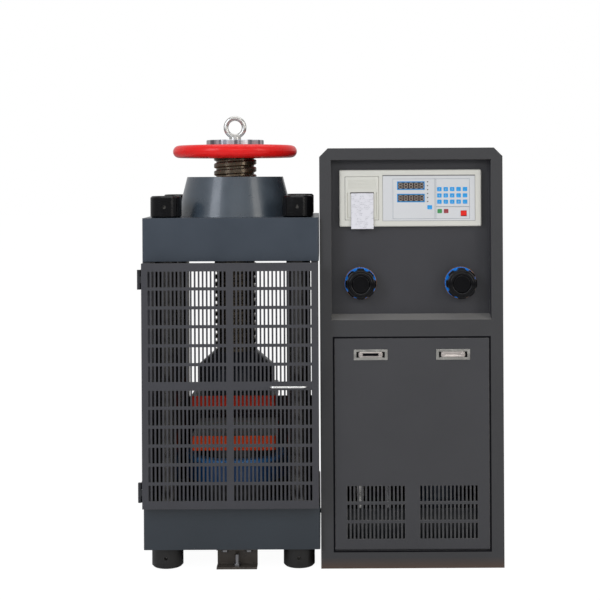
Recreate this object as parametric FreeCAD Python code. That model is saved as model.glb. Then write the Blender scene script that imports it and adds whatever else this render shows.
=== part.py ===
import FreeCAD, Part
import math
import os

# Concrete compression testing machine: a four-column load frame with a hydraulic ram below,
# a hand-turned screw and swivelling platen above, a slotted guard door in front, and a control
# cabinet at its right side. Millimetres, +Z up, the front faces -Y, +X is to the right.
# Everything is laid out from the load axis on the floor. The finished pieces are then moved so
# that the origin lies on the floor, under the middle of the whole machine.

V = FreeCAD.Vector
os.makedirs("parts", exist_ok=True)

# Fits and clearances
FIXED_FIT = 0.2          # radial room round a piece that is fixed in its hole
RUNNING_FIT = 0.05       # radial room of a shaft, pin or ram that moves
SCREW_PLAY = 0.3         # radial room of the lead screw in its nut
SEAT_GAP = 0.3           # gap at rest between a moving piece and its seat

# Load frame
FRAME_W = 452.0
FRAME_D = 390.0
COLUMN_PITCH_X = 342.0
COLUMN_PITCH_Y = 280.0
COLUMN_D = 60.0
NUT_D = 81.0
TOP_NUT_H = 56.0
FOOT_H = 54.0
BASE_H = 109.0
OPENING_H = 629.0
CROSS_H = 111.0
BEAM_EDGE = 5.0          # rounded upright edges of both beams
NUT_EDGE = 4.0
TOMMY_HOLE_D = 9.0
TOMMY_HOLE_DEPTH = 10.0
COLUMN_INSET = 5.0       # column end below the face of its nut

# Ram, cylinder and lower platen
CYLINDER_D = 274.0
CYLINDER_RISE = 105.0     # blue rim of the cylinder above the base beam
CYLINDER_BOTTOM = 30.0   # thickness of its closed end
CYLINDER_EDGE = 4.0
POCKET_FLOOR = 15.0      # base beam left under the cylinder
RAM_D = 220.0
RAM_RISE = 25.0          # ram top above the cylinder rim, at rest
RAM_OIL_ROOM = 6.0       # ram end above the cylinder's closed end, at rest
SEAL_T = 8.0
SEAL_DEPTH = 7.0
SEAL_BELOW_RIM = 14.0
PLATEN_W = 220.0
PLATEN_D = 250.0
LOWER_PLATEN_H = 38.0
UPPER_PLATEN_H = 35.0
PLATEN_EDGE = 4.0
PLATEN_GAP = 70.0        # daylight between the platens, at rest
SPIGOT_D = 56.0          # locates the lower platen on the ram
SPIGOT_H = 10.0
CENTRE_RING_D = 150.0    # centring ring scribed in the lower platen
CENTRE_RING_W = 2.0
CENTRE_RING_DEPTH = 0.8

# Swivel seat over the upper platen
BALL_R = 104.0           # the ball's centre lies in the upper platen's face
BALL_BLOCK_R = 88.0
CUP_R = 104.0
CUP_LIP_GAP = 20.0       # cup above the upper platen
CUP_H = 43.0             # straight side of the cup
CUP_CONE_H = 41.0
CUP_BORE_DEPTH = 28.0
JOURNAL_D = 56.0

# Lead screw, handwheel and lifting eye
SCREW_D = 115.0
SCREW_DOWN = 40.0
HUB_MARGIN = 10.0        # hub above the screw housing with the screw fully down
HUB_D = 149.0
HUB_H = 36.0
HUB_SPIGOT_D = 66.0
WHEEL_D = 335.0
RIM_D = 33.0
SPOKES = 5
SPOKE_D_HUB = 28.0
SPOKE_D_RIM = 20.0
DISC_D = 155.0
DISC_H = 13.0
DISC_EDGE = 1.5
EYE_D = 62.0
EYE_BAR_D = 13.0
EYE_COLLAR_D = 32.0
EYE_COLLAR_H = 10.0
EYE_SHANK_D = 20.0
EYE_SHANK_L = 40.0

# Screw housing and nut on the crosshead
HOUSING_BOTTOM_D = 312.0
HOUSING_TOP_D = 259.0
HOUSING_H = 105.0
SCREW_NUT_D = 168.0
NUT_FLANGE_D = 214.0
NUT_FLANGE_H = 16.0

# Guards
SHEET = 2.0
DOOR_SIDE_GAP = 1.0      # door inside the frame's width on the hinge side
DOOR_FREE_GAP = 3.0      # door and side guards inside the frame's width beside the cabinet
DOOR_END_GAP = 3.0       # door below the crosshead and above the base beam
DOOR_RETURN = 15.0       # depth of the door's folded edges
DOOR_STANDOFF = 15.0     # folded edges in front of the beams
SLOT_W = 5.6
SLOT_PITCH = 10.15
SLOT_H = 40.0
SLOT_ROW_PITCH = 48.0
DOOR_SLOTS = 20          # slots across each half of the door
DOOR_ROWS = 6            # rows above and below its middle bar
DOOR_MID_GAP = 24.2      # middle slots, centre to centre
DOOR_BAR = 22.0          # height of the middle bar
KNUCKLE_R = 5.0
KNUCKLE_H = 50.0
HINGE_PIN_R = 2.5
LEAF_T = 2.6
LEAF_L = 34.0
HINGE_END = 16.0          # hinge from the door's top or bottom edge
HANDLE_L = 98.0
HANDLE_BAR = 6.0
HANDLE_REACH = 25.0
HANDLE_FROM_EDGE = 30.0
SIDE_FLANGE = 20.0
REAR_GUARD_H = 172.0
REAR_RAIL_GAP = 17.0
REAR_RAIL_H = 30.0

# Control cabinet
CABINET_GAP = 2.0        # between the load frame and the cabinet
CABINET_W = 471.0
CABINET_H = 1080.0
CABINET_FRONT = 181.0    # cabinet front ahead of the load axis
CABINET_D = 380.0
CABINET_SHEET = 2.5
CORNER_CUT = 22.0
RECESS_BORDER = 30.0
RECESS_H = 412.0
RECESS_DEPTH = 38.0
SILL_RISE = 12.0
SERVICE_BORDER = 35.0
SERVICE_LOW = 46.0
SERVICE_TOP = 593.0
SERVICE_GAP = 2.0
SERVICE_RETURN = 15.0
SERVICE_ROLL_R = 5.0     # rolled bottom edge of the service door
SERVICE_ROD_R = 2.5
SERVICE_EAR_T = 5.0
SERVICE_LIP = 14.0       # fold behind the service opening
BACK_SHEET = 1.5
GLAND_L = 22.0
GLAND_D = 22.0
GLAND_BORE = 9.0
GLAND_Z = 90.0
GLAND_X = 150.0          # gland right of the cabinet's middle
VENT_SLOTS = 15
VENT_ROWS = 3
VENT_MID_GAP = 45.0
VENT_ROW_PITCH = 48.0
VENT_LOW = 30.0          # lowest slots above the door's bottom edge

# Flush latches on the service door
LATCH_X = 106.0
LATCH_BELOW_TOP = 44.0
LATCH_W = 87.0
LATCH_H = 27.0
LATCH_T = 1.5
LATCH_FLANGE = 5.0       # flange round the latch's cup
LATCH_CUP_DEPTH = 12.0
LATCH_WALL = 2.0
LEVER_W = 62.0
LEVER_T = 5.0
LEVER_PROUD = 1.0
LEVER_PIN_IN = 7.0       # pivot from the lever's end
LEVER_PIN_R = 1.5

# Control panel
PANEL_W = 368.0
PANEL_H = 147.0
PANEL_T = 13.0
PANEL_EDGE = 4.0
PANEL_BELOW_TOP = 26.0
CASE_MARGIN = 12.0
CASE_DEPTH = 105.0
CASE_SHEET = 2.0
OVERLAY_W = 238.0
OVERLAY_H = 117.0
OVERLAY_T = 1.2
OVERLAY_RIGHT = 17.0
WINDOW_W = 70.0
WINDOW_H = 20.0
WINDOW_LEFT = 38.0
WINDOW_TOP = 16.0
WINDOW_PITCH = 32.5
PRINTER_W = 87.0
PRINTER_H = 112.0
PRINTER_LEFT = 15.0
PRINTER_STEP = 2.0
PAPER_W = 58.0
PAPER_T = 0.5
PAPER_ROLL_D = 40.0
SPINDLE_D = 6.0
PAPER_EXIT_DOWN = 37.0   # paper slot below the printer cover's top
PAPER_SLOT_H = 4.0
PAPER_DROP = 96.0
PAPER_STANDOFF = 5.0
PAPER_BEND_IN = 8.0
PRINTER_COVER_T = 5.0
PRINTER_DEPTH = 56.0
PRINTER_WALL = 2.0
HEAD_H = 14.0
HEAD_D = 16.0
ROCKER_W = 16.0
ROCKER_H = 15.0
ROCKER_RIGHT = 29.0
ROCKER_UP = 18.5
ROCKER_DEPTH = 6.0
ROCKER_DIP = 1.8         # hollow of the rocker's face
ROCKER_PIN_R = 1.5
ROCKER_PIN_L = 2.0
ROCKER_DEG = 14.0

# Valve knobs
KNOB_X = 130.0
KNOB_UP = 92.0          # knobs above the recess floor
KNOB_D = 80.0
KNOB_T = 24.0
KNOB_LOBES = 8
KNOB_SCALLOP_R = 9.0
KNOB_SCALLOP_CUT = 4.0
KNOB_CAP_D = 43.0
KNOB_CAP_T = 3.0
KNOB_STANDOFF = 16.0
DIAL_D = 88.0
DIAL_T = 1.5
STEM_D = 16.0
STEM_IN_KNOB = 10.0
STEM_IN_BLOCK = 38.0
STEM_CLEAR = 1.0
VALVE_BLOCK_H = 64.0
VALVE_BLOCK_D = 55.0
VALVE_BLOCK_W = 330.0

# Hydraulic pump unit
TANK_W = 360.0
TANK_D = 210.0
TANK_H = 120.0
TANK_FRONT_ROOM = 50.0
TANK_LID_T = 6.0
TANK_FEET = 12.0
MOTOR_D = 120.0
MOTOR_H = 175.0
MOTOR_FLANGE_D = 150.0
MOTOR_FLANGE_H = 12.0
COWL_H = 45.0
MOTOR_FINS = 16
FIN_H = 6.0
FIN_T = 3.0
FILLER_D = 42.0
FILLER_H = 66.0
PIPE_D = 12.0
PIPE_BEND_R = 24.0
PIPE_SEAT = 10.0         # pipe end inside its port
PORT_D = 5.0
PIPE_FROM_WALL = 28.0
FITTING_D = 24.0
FITTING_H = 14.0
TANK_WALL = 3.0
PUMP_D = 90.0
PUMP_SHAFT_D = 30.0
MOTOR_X = 80.0           # motor right of the cabinet's middle
FILLER_X = -135.0
FEED_X = -60.0
SENSOR_D = 24.0
SENSOR_H = 46.0
TERMINAL_W = 60.0
TERMINAL_D = 30.0
TERMINAL_H = 50.0

# Bracket under the base beam
BRACKET_X = 11.0
BRACKET_W = 104.0
BRACKET_T = 5.0
BRACKET_FLANGE = 40.0
BRACKET_FROM_FRONT = 12.0
BOLT_PITCH = 62.0
ANCHOR_L = 34.0
BOLT_D = 10.0
BOLT_HEAD_D = 18.0
BOLT_HEAD_H = 7.0

# Heights and planes that follow
BASE_TOP = FOOT_H + BASE_H
CROSS_BOTTOM = BASE_TOP + OPENING_H
CROSS_TOP = CROSS_BOTTOM + CROSS_H
CYLINDER_TOP = BASE_TOP + CYLINDER_RISE
CYLINDER_LOW = FOOT_H + POCKET_FLOOR
RAM_TOP = CYLINDER_TOP + RAM_RISE
RAM_LOW = CYLINDER_LOW + CYLINDER_BOTTOM + RAM_OIL_ROOM
PORT_Z = RAM_LOW - RAM_OIL_ROOM / 2
LOWER_FACE = RAM_TOP + LOWER_PLATEN_H
UPPER_FACE = LOWER_FACE + PLATEN_GAP
UPPER_BACK = UPPER_FACE + UPPER_PLATEN_H
CUP_LOW = UPPER_BACK + CUP_LIP_GAP
CUP_SHOULDER = CUP_LOW + CUP_H
CUP_TOP = CUP_SHOULDER + CUP_CONE_H
HOUSING_TOP = CROSS_TOP + HOUSING_H
HUB_LOW = HOUSING_TOP + SCREW_DOWN + HUB_MARGIN
HUB_TOP = HUB_LOW + HUB_H
WHEEL_Z = HUB_LOW + HUB_H / 2
DISC_TOP = HUB_TOP + DISC_H
EYE_Z = DISC_TOP + EYE_COLLAR_H + EYE_D / 2 - EYE_BAR_D / 2
FRAME_X = FRAME_W / 2
FRAME_Y = FRAME_D / 2
DOOR_FRONT = -FRAME_Y - DOOR_STANDOFF - DOOR_RETURN
DOOR_LEFT = -FRAME_X + DOOR_SIDE_GAP
DOOR_RIGHT = FRAME_X - DOOR_FREE_GAP
DOOR_LOW = BASE_TOP + DOOR_END_GAP
DOOR_TOP = CROSS_BOTTOM - DOOR_END_GAP
GUARD_HINGE_X = -FRAME_X - KNUCKLE_R - SEAT_GAP
GUARD_HINGE_Y = DOOR_FRONT + DOOR_RETURN / 2
CAB_LEFT = FRAME_X + CABINET_GAP
CAB_RIGHT = CAB_LEFT + CABINET_W
CAB_X = CAB_LEFT + CABINET_W / 2
CAB_FRONT = -CABINET_FRONT
CAB_BACK = CAB_FRONT + CABINET_D
RECESS_TOP = CABINET_H - RECESS_BORDER
RECESS_LOW = RECESS_TOP - RECESS_H
PANEL_PLANE = CAB_FRONT + RECESS_DEPTH
KNOB_Z = RECESS_LOW + KNOB_UP
PANEL_TOP = RECESS_TOP - PANEL_BELOW_TOP
PANEL_LOW = PANEL_TOP - PANEL_H
PANEL_FACE = PANEL_PLANE - PANEL_T
SERVICE_HINGE_Y = CAB_FRONT + SERVICE_ROLL_R
SERVICE_HINGE_Z = SERVICE_LOW + SEAT_GAP + SERVICE_ROLL_R
SERVICE_LEFT = CAB_LEFT + SERVICE_BORDER
SERVICE_RIGHT = CAB_RIGHT - SERVICE_BORDER
LATCH_Z = SERVICE_TOP - LATCH_BELOW_TOP
PANEL_LEFT = CAB_X - PANEL_W / 2
PANEL_RIGHT = CAB_X + PANEL_W / 2
PANEL_Z = (PANEL_LOW + PANEL_TOP) / 2
OVERLAY_X1 = PANEL_RIGHT - OVERLAY_RIGHT
OVERLAY_X0 = OVERLAY_X1 - OVERLAY_W
ROCKER_X = OVERLAY_X1 - ROCKER_RIGHT
ROCKER_Z = PANEL_Z - OVERLAY_H / 2 + ROCKER_UP
PRINTER_X0 = PANEL_LEFT + PRINTER_LEFT
PRINTER_X1 = PRINTER_X0 + PRINTER_W
PRINTER_X = (PRINTER_X0 + PRINTER_X1) / 2
PRINTER_TOP = PANEL_Z + PRINTER_H / 2
PRINTER_LOW = PANEL_Z - PRINTER_H / 2
PAPER_EXIT_Z = PRINTER_TOP - PAPER_EXIT_DOWN
BLOCK_FRONT = PANEL_PLANE + CABINET_SHEET
BLOCK_Y = BLOCK_FRONT + VALVE_BLOCK_D / 2
TANK_LOW = CABINET_SHEET + TANK_FEET
TANK_TOP = TANK_LOW + TANK_H
LID_TOP = TANK_TOP + TANK_LID_T
TANK_FRONT = CAB_FRONT + TANK_FRONT_ROOM
TANK_Y = TANK_FRONT + TANK_D / 2
COLUMN_PLACES = [(sx * COLUMN_PITCH_X / 2, sy * COLUMN_PITCH_Y / 2) for sy in (-1, 1) for sx in (-1, 1)]

# The whole machine's box in the load axis frame, and the move that centres it on the origin
X_MIN = GUARD_HINGE_X - KNUCKLE_R
X_MAX = CAB_RIGHT
Y_MIN = DOOR_FRONT - HANDLE_REACH
Y_MAX = CAB_BACK + GLAND_L
TO_ORIGIN = V(-(X_MIN + X_MAX) / 2, -(Y_MIN + Y_MAX) / 2, 0)


# Small builders

def box(x0, x1, y0, y1, z0, z1):
    return Part.makeBox(x1 - x0, y1 - y0, z1 - z0, V(x0, y0, z0))


def rod(radius, start, end):
    run = end - start
    return Part.makeCylinder(radius, run.Length, start, run)


def tube(outer, inner, start, end):
    return rod(outer, start, end).cut(rod(inner, start, end))


def upright(radius, x, y, z0, z1):
    return rod(radius, V(x, y, z0), V(x, y, z1))


def turned(profile, x=0.0, y=0.0):
    # A closed profile of (radius, height) points, turned about an upright axis
    points = [V(r, 0, z) for r, z in profile]
    face = Part.Face(Part.makePolygon(points + points[:1]))
    return face.revolve(V(0, 0, 0), V(0, 0, 1), 360).translated(V(x, y, 0))


def rectangle(x0, x1, z0, z1, y):
    corners = [V(x0, y, z0), V(x1, y, z0), V(x1, y, z1), V(x0, y, z1)]
    return Part.makePolygon(corners + corners[:1])


def pierced_sheet(x0, x1, z0, z1, y, thick, holes):
    # A flat sheet facing -Y at y, with rectangular holes given as (x0, x1, z0, z1)
    wires = [rectangle(x0, x1, z0, z1, y)]
    wires += [rectangle(*hole, y).reversed() for hole in holes]
    return Part.Face(wires).extrude(V(0, thick, 0))


def slot_holes(columns, rows):
    # One slot for each column centre and each row's lower edge
    half = SLOT_W / 2
    return [(x - half, x + half, z, z + SLOT_H) for z in rows for x in columns]


def upright_edges(shape):
    # Edges that run straight along Z
    return [e for e in shape.Edges if len(e.Vertexes) == 2
            and abs(e.Vertexes[0].Z - e.Vertexes[1].Z) > 0.9 * e.Length]


def save(name, *solids):
    shape = solids[0] if len(solids) == 1 else Part.makeCompound(list(solids))
    shape.translated(TO_ORIGIN).exportStep("parts/" + name + ".step")


# Load frame

def column_holes(z0, z1):
    radius = COLUMN_D / 2 + FIXED_FIT
    return [upright(radius, x, y, z0, z1) for x, y in COLUMN_PLACES]


def beam(z0, z1):
    block = box(-FRAME_X, FRAME_X, -FRAME_Y, FRAME_Y, z0, z1)
    return block.makeFillet(BEAM_EDGE, upright_edges(block)).cut(column_holes(z0, z1))


def base_beam():
    pocket = upright(CYLINDER_D / 2 + FIXED_FIT, 0, 0, CYLINDER_LOW, BASE_TOP)
    pipe_way = rod(PIPE_D / 2 + STEM_CLEAR, V(0, 0, PORT_Z), V(FRAME_X + 1, 0, PORT_Z))
    return beam(FOOT_H, BASE_TOP).cut([pocket, pipe_way])


def crosshead():
    bore = upright(SCREW_NUT_D / 2 + FIXED_FIT, 0, 0, CROSS_BOTTOM, CROSS_TOP)
    return beam(CROSS_BOTTOM, CROSS_TOP).cut(bore)


def column(x, y):
    body = upright(COLUMN_D / 2, x, y, COLUMN_INSET, CROSS_TOP + TOP_NUT_H - COLUMN_INSET)
    ends = [e for e in body.Edges if isinstance(e.Curve, Part.Circle)]
    return body.makeChamfer(COLUMN_INSET / 2, ends)


def round_nut(x, y, z0, z1):
    inner = COLUMN_D / 2 + FIXED_FIT
    outer = NUT_D / 2
    nut = turned([(inner, z0), (outer - NUT_EDGE, z0), (outer, z0 + NUT_EDGE),
                  (outer, z1 - NUT_EDGE), (outer - NUT_EDGE, z1), (inner, z1)], x, y)
    middle = (z0 + z1) / 2
    deep = outer - inner + TOMMY_HOLE_DEPTH
    holes = []
    for step in range(4):
        angle = math.radians(90 * step)
        out = V(math.cos(angle), math.sin(angle), 0)
        start = V(x, y, middle) + out * (outer + 1)
        holes.append(rod(TOMMY_HOLE_D / 2, start, start - out * deep))
    return nut.cut(holes)


def rings_on_columns(z0, z1):
    return [round_nut(x, y, z0, z1) for x, y in COLUMN_PLACES]


def save_load_frame():
    save("base_beam", base_beam())
    save("crosshead", crosshead())
    save("columns", *[column(x, y) for x, y in COLUMN_PLACES])
    save("column_feet", *rings_on_columns(0, FOOT_H))
    save("column_nuts", *rings_on_columns(CROSS_TOP, CROSS_TOP + TOP_NUT_H))


# Hydraulic cylinder, ram and lower platen

def cylinder():
    outer = CYLINDER_D / 2
    inner = RAM_D / 2 + RUNNING_FIT
    groove = inner + SEAL_DEPTH
    seal_top = CYLINDER_TOP - SEAL_BELOW_RIM
    edge = CYLINDER_EDGE
    port = rod(PORT_D / 2, V(0, 0, PORT_Z), V(outer, 0, PORT_Z))
    seat = rod(PIPE_D / 2 + FIXED_FIT, V(outer - PIPE_SEAT, 0, PORT_Z), V(outer + 1, 0, PORT_Z))
    body = turned([(0, CYLINDER_LOW), (outer, CYLINDER_LOW), (outer, CYLINDER_TOP - edge),
                   (outer - edge, CYLINDER_TOP), (inner, CYLINDER_TOP), (inner, seal_top),
                   (groove, seal_top), (groove, seal_top - SEAL_T), (inner, seal_top - SEAL_T),
                   (inner, CYLINDER_LOW + CYLINDER_BOTTOM), (0, CYLINDER_LOW + CYLINDER_BOTTOM)])
    return body.cut([port, seat])


def seal_ring():
    inner = RAM_D / 2 + RUNNING_FIT
    top = CYLINDER_TOP - SEAL_BELOW_RIM
    return turned([(inner, top - SEAL_T), (inner + SEAL_DEPTH, top - SEAL_T),
                   (inner + SEAL_DEPTH, top), (inner, top)])


def ram():
    outer = RAM_D / 2
    spigot = SPIGOT_D / 2
    return turned([(0, RAM_LOW), (outer, RAM_LOW), (outer, RAM_TOP), (spigot, RAM_TOP),
                   (spigot, RAM_TOP + SPIGOT_H), (0, RAM_TOP + SPIGOT_H)])


def platen(z0, z1):
    block = box(-PLATEN_W / 2, PLATEN_W / 2, -PLATEN_D / 2, PLATEN_D / 2, z0, z1)
    return block.makeChamfer(PLATEN_EDGE, upright_edges(block))


def lower_platen():
    socket = upright(SPIGOT_D / 2 + FIXED_FIT, 0, 0, RAM_TOP, RAM_TOP + SPIGOT_H + FIXED_FIT)
    low = LOWER_FACE - CENTRE_RING_DEPTH
    inner = CENTRE_RING_D / 2
    outer = inner + CENTRE_RING_W
    ring = turned([(inner, low), (outer, low), (outer, LOWER_FACE), (inner, LOWER_FACE)])
    return platen(RAM_TOP, LOWER_FACE).cut([socket, ring])


def save_ram():
    save("ram_cylinder", cylinder())
    save("ram_seal", seal_ring())
    save("ram", ram())
    save("lower_platen", lower_platen())


# Swivel seat and upper platen. The ball surface is centred in the upper platen's lower face.

def ball_profile(radius, r0, z0, axis_z):
    # Edges from the point (r0, z0) up along the ball's surface to the axis, in the XZ plane
    middle = math.atan2(z0 - UPPER_FACE, r0) / 2 + math.pi / 4
    via = V(radius * math.cos(middle), 0, UPPER_FACE + radius * math.sin(middle))
    return Part.Arc(V(r0, 0, z0), via, V(0, 0, axis_z)).toShape()


def ball_block():
    shoulder = UPPER_FACE + math.sqrt(BALL_R ** 2 - BALL_BLOCK_R ** 2)
    top = UPPER_FACE + BALL_R
    side = Part.makePolygon([V(0, 0, top), V(0, 0, UPPER_BACK), V(BALL_BLOCK_R, 0, UPPER_BACK),
                             V(BALL_BLOCK_R, 0, shoulder)])
    edges = side.Edges + [ball_profile(BALL_R, BALL_BLOCK_R, shoulder, top)]
    return Part.Face(Part.Wire(edges)).revolve(V(0, 0, 0), V(0, 0, 1), 360)


def swivel_cup():
    radius = BALL_R + SEAT_GAP
    lip = math.sqrt(radius ** 2 - (CUP_LOW - UPPER_FACE) ** 2)
    crown = UPPER_FACE + radius
    bore = JOURNAL_D / 2 + RUNNING_FIT
    bore_low = CUP_TOP - CUP_BORE_DEPTH
    side = Part.makePolygon([V(0, 0, crown), V(0, 0, bore_low), V(bore, 0, bore_low), V(bore, 0, CUP_TOP),
                             V(SCREW_D / 2, 0, CUP_TOP), V(CUP_R, 0, CUP_SHOULDER), V(CUP_R, 0, CUP_LOW),
                             V(lip, 0, CUP_LOW)])
    edges = side.Edges + [ball_profile(radius, lip, CUP_LOW, crown)]
    return Part.Face(Part.Wire(edges)).revolve(V(0, 0, 0), V(0, 0, 1), 360)


def save_upper_platen():
    save("swivel_cup", swivel_cup())
    save("swivel_ball", ball_block())
    save("upper_platen", platen(UPPER_FACE, UPPER_BACK))


# Lead screw, its nut and housing, the handwheel and the lifting eye

def screw_housing():
    low = HOUSING_BOTTOM_D / 2
    high = HOUSING_TOP_D / 2
    body = SCREW_NUT_D / 2 + FIXED_FIT
    flange = NUT_FLANGE_D / 2 + FIXED_FIT
    ledge = HOUSING_TOP - NUT_FLANGE_H
    return turned([(body, CROSS_TOP), (low, CROSS_TOP), (high, HOUSING_TOP), (flange, HOUSING_TOP),
                   (flange, ledge), (body, ledge)])


def screw_nut():
    bore = SCREW_D / 2 + SCREW_PLAY
    body = SCREW_NUT_D / 2
    flange = NUT_FLANGE_D / 2
    ledge = HOUSING_TOP - NUT_FLANGE_H
    return turned([(bore, CROSS_BOTTOM), (body, CROSS_BOTTOM), (body, ledge), (flange, ledge),
                   (flange, HOUSING_TOP), (bore, HOUSING_TOP)])


def lead_screw():
    journal = JOURNAL_D / 2
    spigot = HUB_SPIGOT_D / 2
    screw = turned([(0, CUP_TOP - CUP_BORE_DEPTH + SEAT_GAP), (journal, CUP_TOP - CUP_BORE_DEPTH + SEAT_GAP),
                    (journal, CUP_TOP), (SCREW_D / 2, CUP_TOP), (SCREW_D / 2, HUB_LOW), (spigot, HUB_LOW),
                    (spigot, HUB_TOP), (0, HUB_TOP)])
    return screw.cut(eye_hole())


def eye_hole():
    return upright(EYE_SHANK_D / 2 + FIXED_FIT, 0, 0, DISC_TOP - EYE_SHANK_L - FIXED_FIT, DISC_TOP)


def handwheel():
    hub = upright(HUB_D / 2, 0, 0, HUB_LOW, HUB_TOP)
    edges = [e for e in hub.Edges if isinstance(e.Curve, Part.Circle)]
    hub = hub.makeFillet(NUT_EDGE, edges)
    rim_r = (WHEEL_D - RIM_D) / 2
    rim = Part.makeTorus(rim_r, RIM_D / 2, V(0, 0, WHEEL_Z))
    spokes = []
    for i in range(SPOKES):
        angle = 2 * math.pi * (i + 0.5) / SPOKES
        out = V(math.cos(angle), math.sin(angle), 0)
        start = out * (HUB_SPIGOT_D / 2 + HUB_D / 2) * 0.5 + V(0, 0, WHEEL_Z)
        reach = rim_r - (HUB_SPIGOT_D + HUB_D) / 4
        spokes.append(Part.makeCone(SPOKE_D_HUB / 2, SPOKE_D_RIM / 2, reach, start, out))
    bore = upright(HUB_SPIGOT_D / 2 + FIXED_FIT, 0, 0, HUB_LOW, HUB_TOP)
    return hub.fuse([rim] + spokes).cut(bore)


def clamp_disc():
    outer = DISC_D / 2
    low = HUB_TOP
    hole = EYE_SHANK_D / 2 + FIXED_FIT
    return turned([(hole, low), (outer, low), (outer, DISC_TOP - DISC_EDGE), (outer - DISC_EDGE, DISC_TOP),
                   (hole, DISC_TOP)])


def lifting_eye():
    ring = Part.makeTorus((EYE_D - EYE_BAR_D) / 2, EYE_BAR_D / 2, V(0, 0, EYE_Z), V(0, 1, 0))
    collar_top = DISC_TOP + EYE_COLLAR_H
    neck = EYE_BAR_D * 0.8
    collar = turned([(0, DISC_TOP), (EYE_COLLAR_D / 2, DISC_TOP), (EYE_COLLAR_D / 2, collar_top - DISC_EDGE),
                     (neck, collar_top + DISC_EDGE), (0, collar_top + DISC_EDGE)])
    shank = upright(EYE_SHANK_D / 2, 0, 0, DISC_TOP - EYE_SHANK_L, DISC_TOP + 1)
    return collar.fuse([ring, shank])


def save_screw():
    save("screw_housing", screw_housing())
    save("screw_nut", screw_nut())
    save("lead_screw", lead_screw())
    save("handwheel", handwheel())
    save("clamp_disc", clamp_disc())
    save("lifting_eye", lifting_eye())


# Slotted guard door on its two hinges

def door_slots():
    middle = (DOOR_LOW + DOOR_TOP) / 2
    block = (DOOR_ROWS - 1) * SLOT_ROW_PITCH + SLOT_H
    lows = [middle - DOOR_BAR / 2 - block, middle + DOOR_BAR / 2]
    rows = [low + i * SLOT_ROW_PITCH for low in lows for i in range(DOOR_ROWS)]
    centre = (DOOR_LEFT + DOOR_RIGHT) / 2
    offsets = [DOOR_MID_GAP / 2 + i * SLOT_PITCH for i in range(DOOR_SLOTS)]
    columns = [centre + side * offset for side in (-1, 1) for offset in offsets]
    return slot_holes(columns, rows)


def tray_edges(x0, x1, z0, z1, front, depth):
    # Folded edges behind a flat sheet
    back = front + depth
    return [box(x0, x0 + SHEET, front, back, z0, z1), box(x1 - SHEET, x1, front, back, z0, z1),
            box(x0, x1, front, back, z0, z0 + SHEET), box(x0, x1, front, back, z1 - SHEET, z1)]


def guard_door():
    sheet = pierced_sheet(DOOR_LEFT, DOOR_RIGHT, DOOR_LOW, DOOR_TOP, DOOR_FRONT, SHEET, door_slots())
    return sheet.fuse(tray_edges(DOOR_LEFT, DOOR_RIGHT, DOOR_LOW, DOOR_TOP, DOOR_FRONT, DOOR_RETURN))


def hinge_heights():
    return [DOOR_LOW + HINGE_END, DOOR_TOP - HINGE_END - KNUCKLE_H]


def knuckle(z0, z1):
    return tube(KNUCKLE_R, HINGE_PIN_R + RUNNING_FIT, V(GUARD_HINGE_X, GUARD_HINGE_Y, z0),
                V(GUARD_HINGE_X, GUARD_HINGE_Y, z1))


def door_leaf(z):
    # The middle third of the hinge, on the door's folded edge
    third = KNUCKLE_H / 3
    z0 = z + third + SEAT_GAP
    z1 = z + 2 * third - SEAT_GAP
    plate = box(GUARD_HINGE_X, DOOR_LEFT, DOOR_FRONT + SHEET, DOOR_FRONT + SHEET + LEAF_T, z0, z1)
    hole = rod(HINGE_PIN_R + RUNNING_FIT, V(GUARD_HINGE_X, GUARD_HINGE_Y, z0), V(GUARD_HINGE_X, GUARD_HINGE_Y, z1))
    return knuckle(z0, z1).fuse(plate).cut(hole)


def frame_leaf(z):
    # The outer thirds, joined by a plate that runs back along the side guard
    third = KNUCKLE_H / 3
    ends = [knuckle(z, z + third), knuckle(z + 2 * third, z + KNUCKLE_H)]
    outer = -FRAME_X - LEAF_T
    back = box(outer, -FRAME_X, -FRAME_Y - KNUCKLE_R / 2, -FRAME_Y + LEAF_L, z, z + KNUCKLE_H)
    arms = [box(outer, -FRAME_X, GUARD_HINGE_Y, -FRAME_Y, low, low + third) for low in (z, z + 2 * third)]
    hole = rod(HINGE_PIN_R + RUNNING_FIT, V(GUARD_HINGE_X, GUARD_HINGE_Y, z),
               V(GUARD_HINGE_X, GUARD_HINGE_Y, z + KNUCKLE_H))
    return back.fuse(ends + arms).cut(hole)


def hinge_pin(z):
    return upright(HINGE_PIN_R, GUARD_HINGE_X, GUARD_HINGE_Y, z, z + KNUCKLE_H)


def door_handle():
    # A thin level bow of round bar on the middle bar's right end
    right = FRAME_X - HANDLE_FROM_EDGE
    left = right - HANDLE_L
    z = (DOOR_LOW + DOOR_TOP) / 2
    half = HANDLE_BAR / 2
    front = DOOR_FRONT - HANDLE_REACH + half
    bend = 2 * HANDLE_BAR
    swing = bend * (1 - math.sqrt(0.5))
    posts = [V(left + half, DOOR_FRONT, z), V(left + half, front + bend, z)]
    ends = [V(right - half, front + bend, z), V(right - half, DOOR_FRONT, z)]
    path = [Part.makeLine(*posts),
            Part.Arc(posts[1], V(left + half + swing, front + swing, z), V(left + half + bend, front, z)).toShape(),
            Part.makeLine(V(left + half + bend, front, z), V(right - half - bend, front, z)),
            Part.Arc(V(right - half - bend, front, z), V(right - half - swing, front + swing, z), ends[0]).toShape(),
            Part.makeLine(*ends)]
    section = Part.Wire(Part.makeCircle(half, posts[0], V(0, 1, 0)))
    return Part.Wire(path).makePipeShell([section], True, False)


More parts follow.
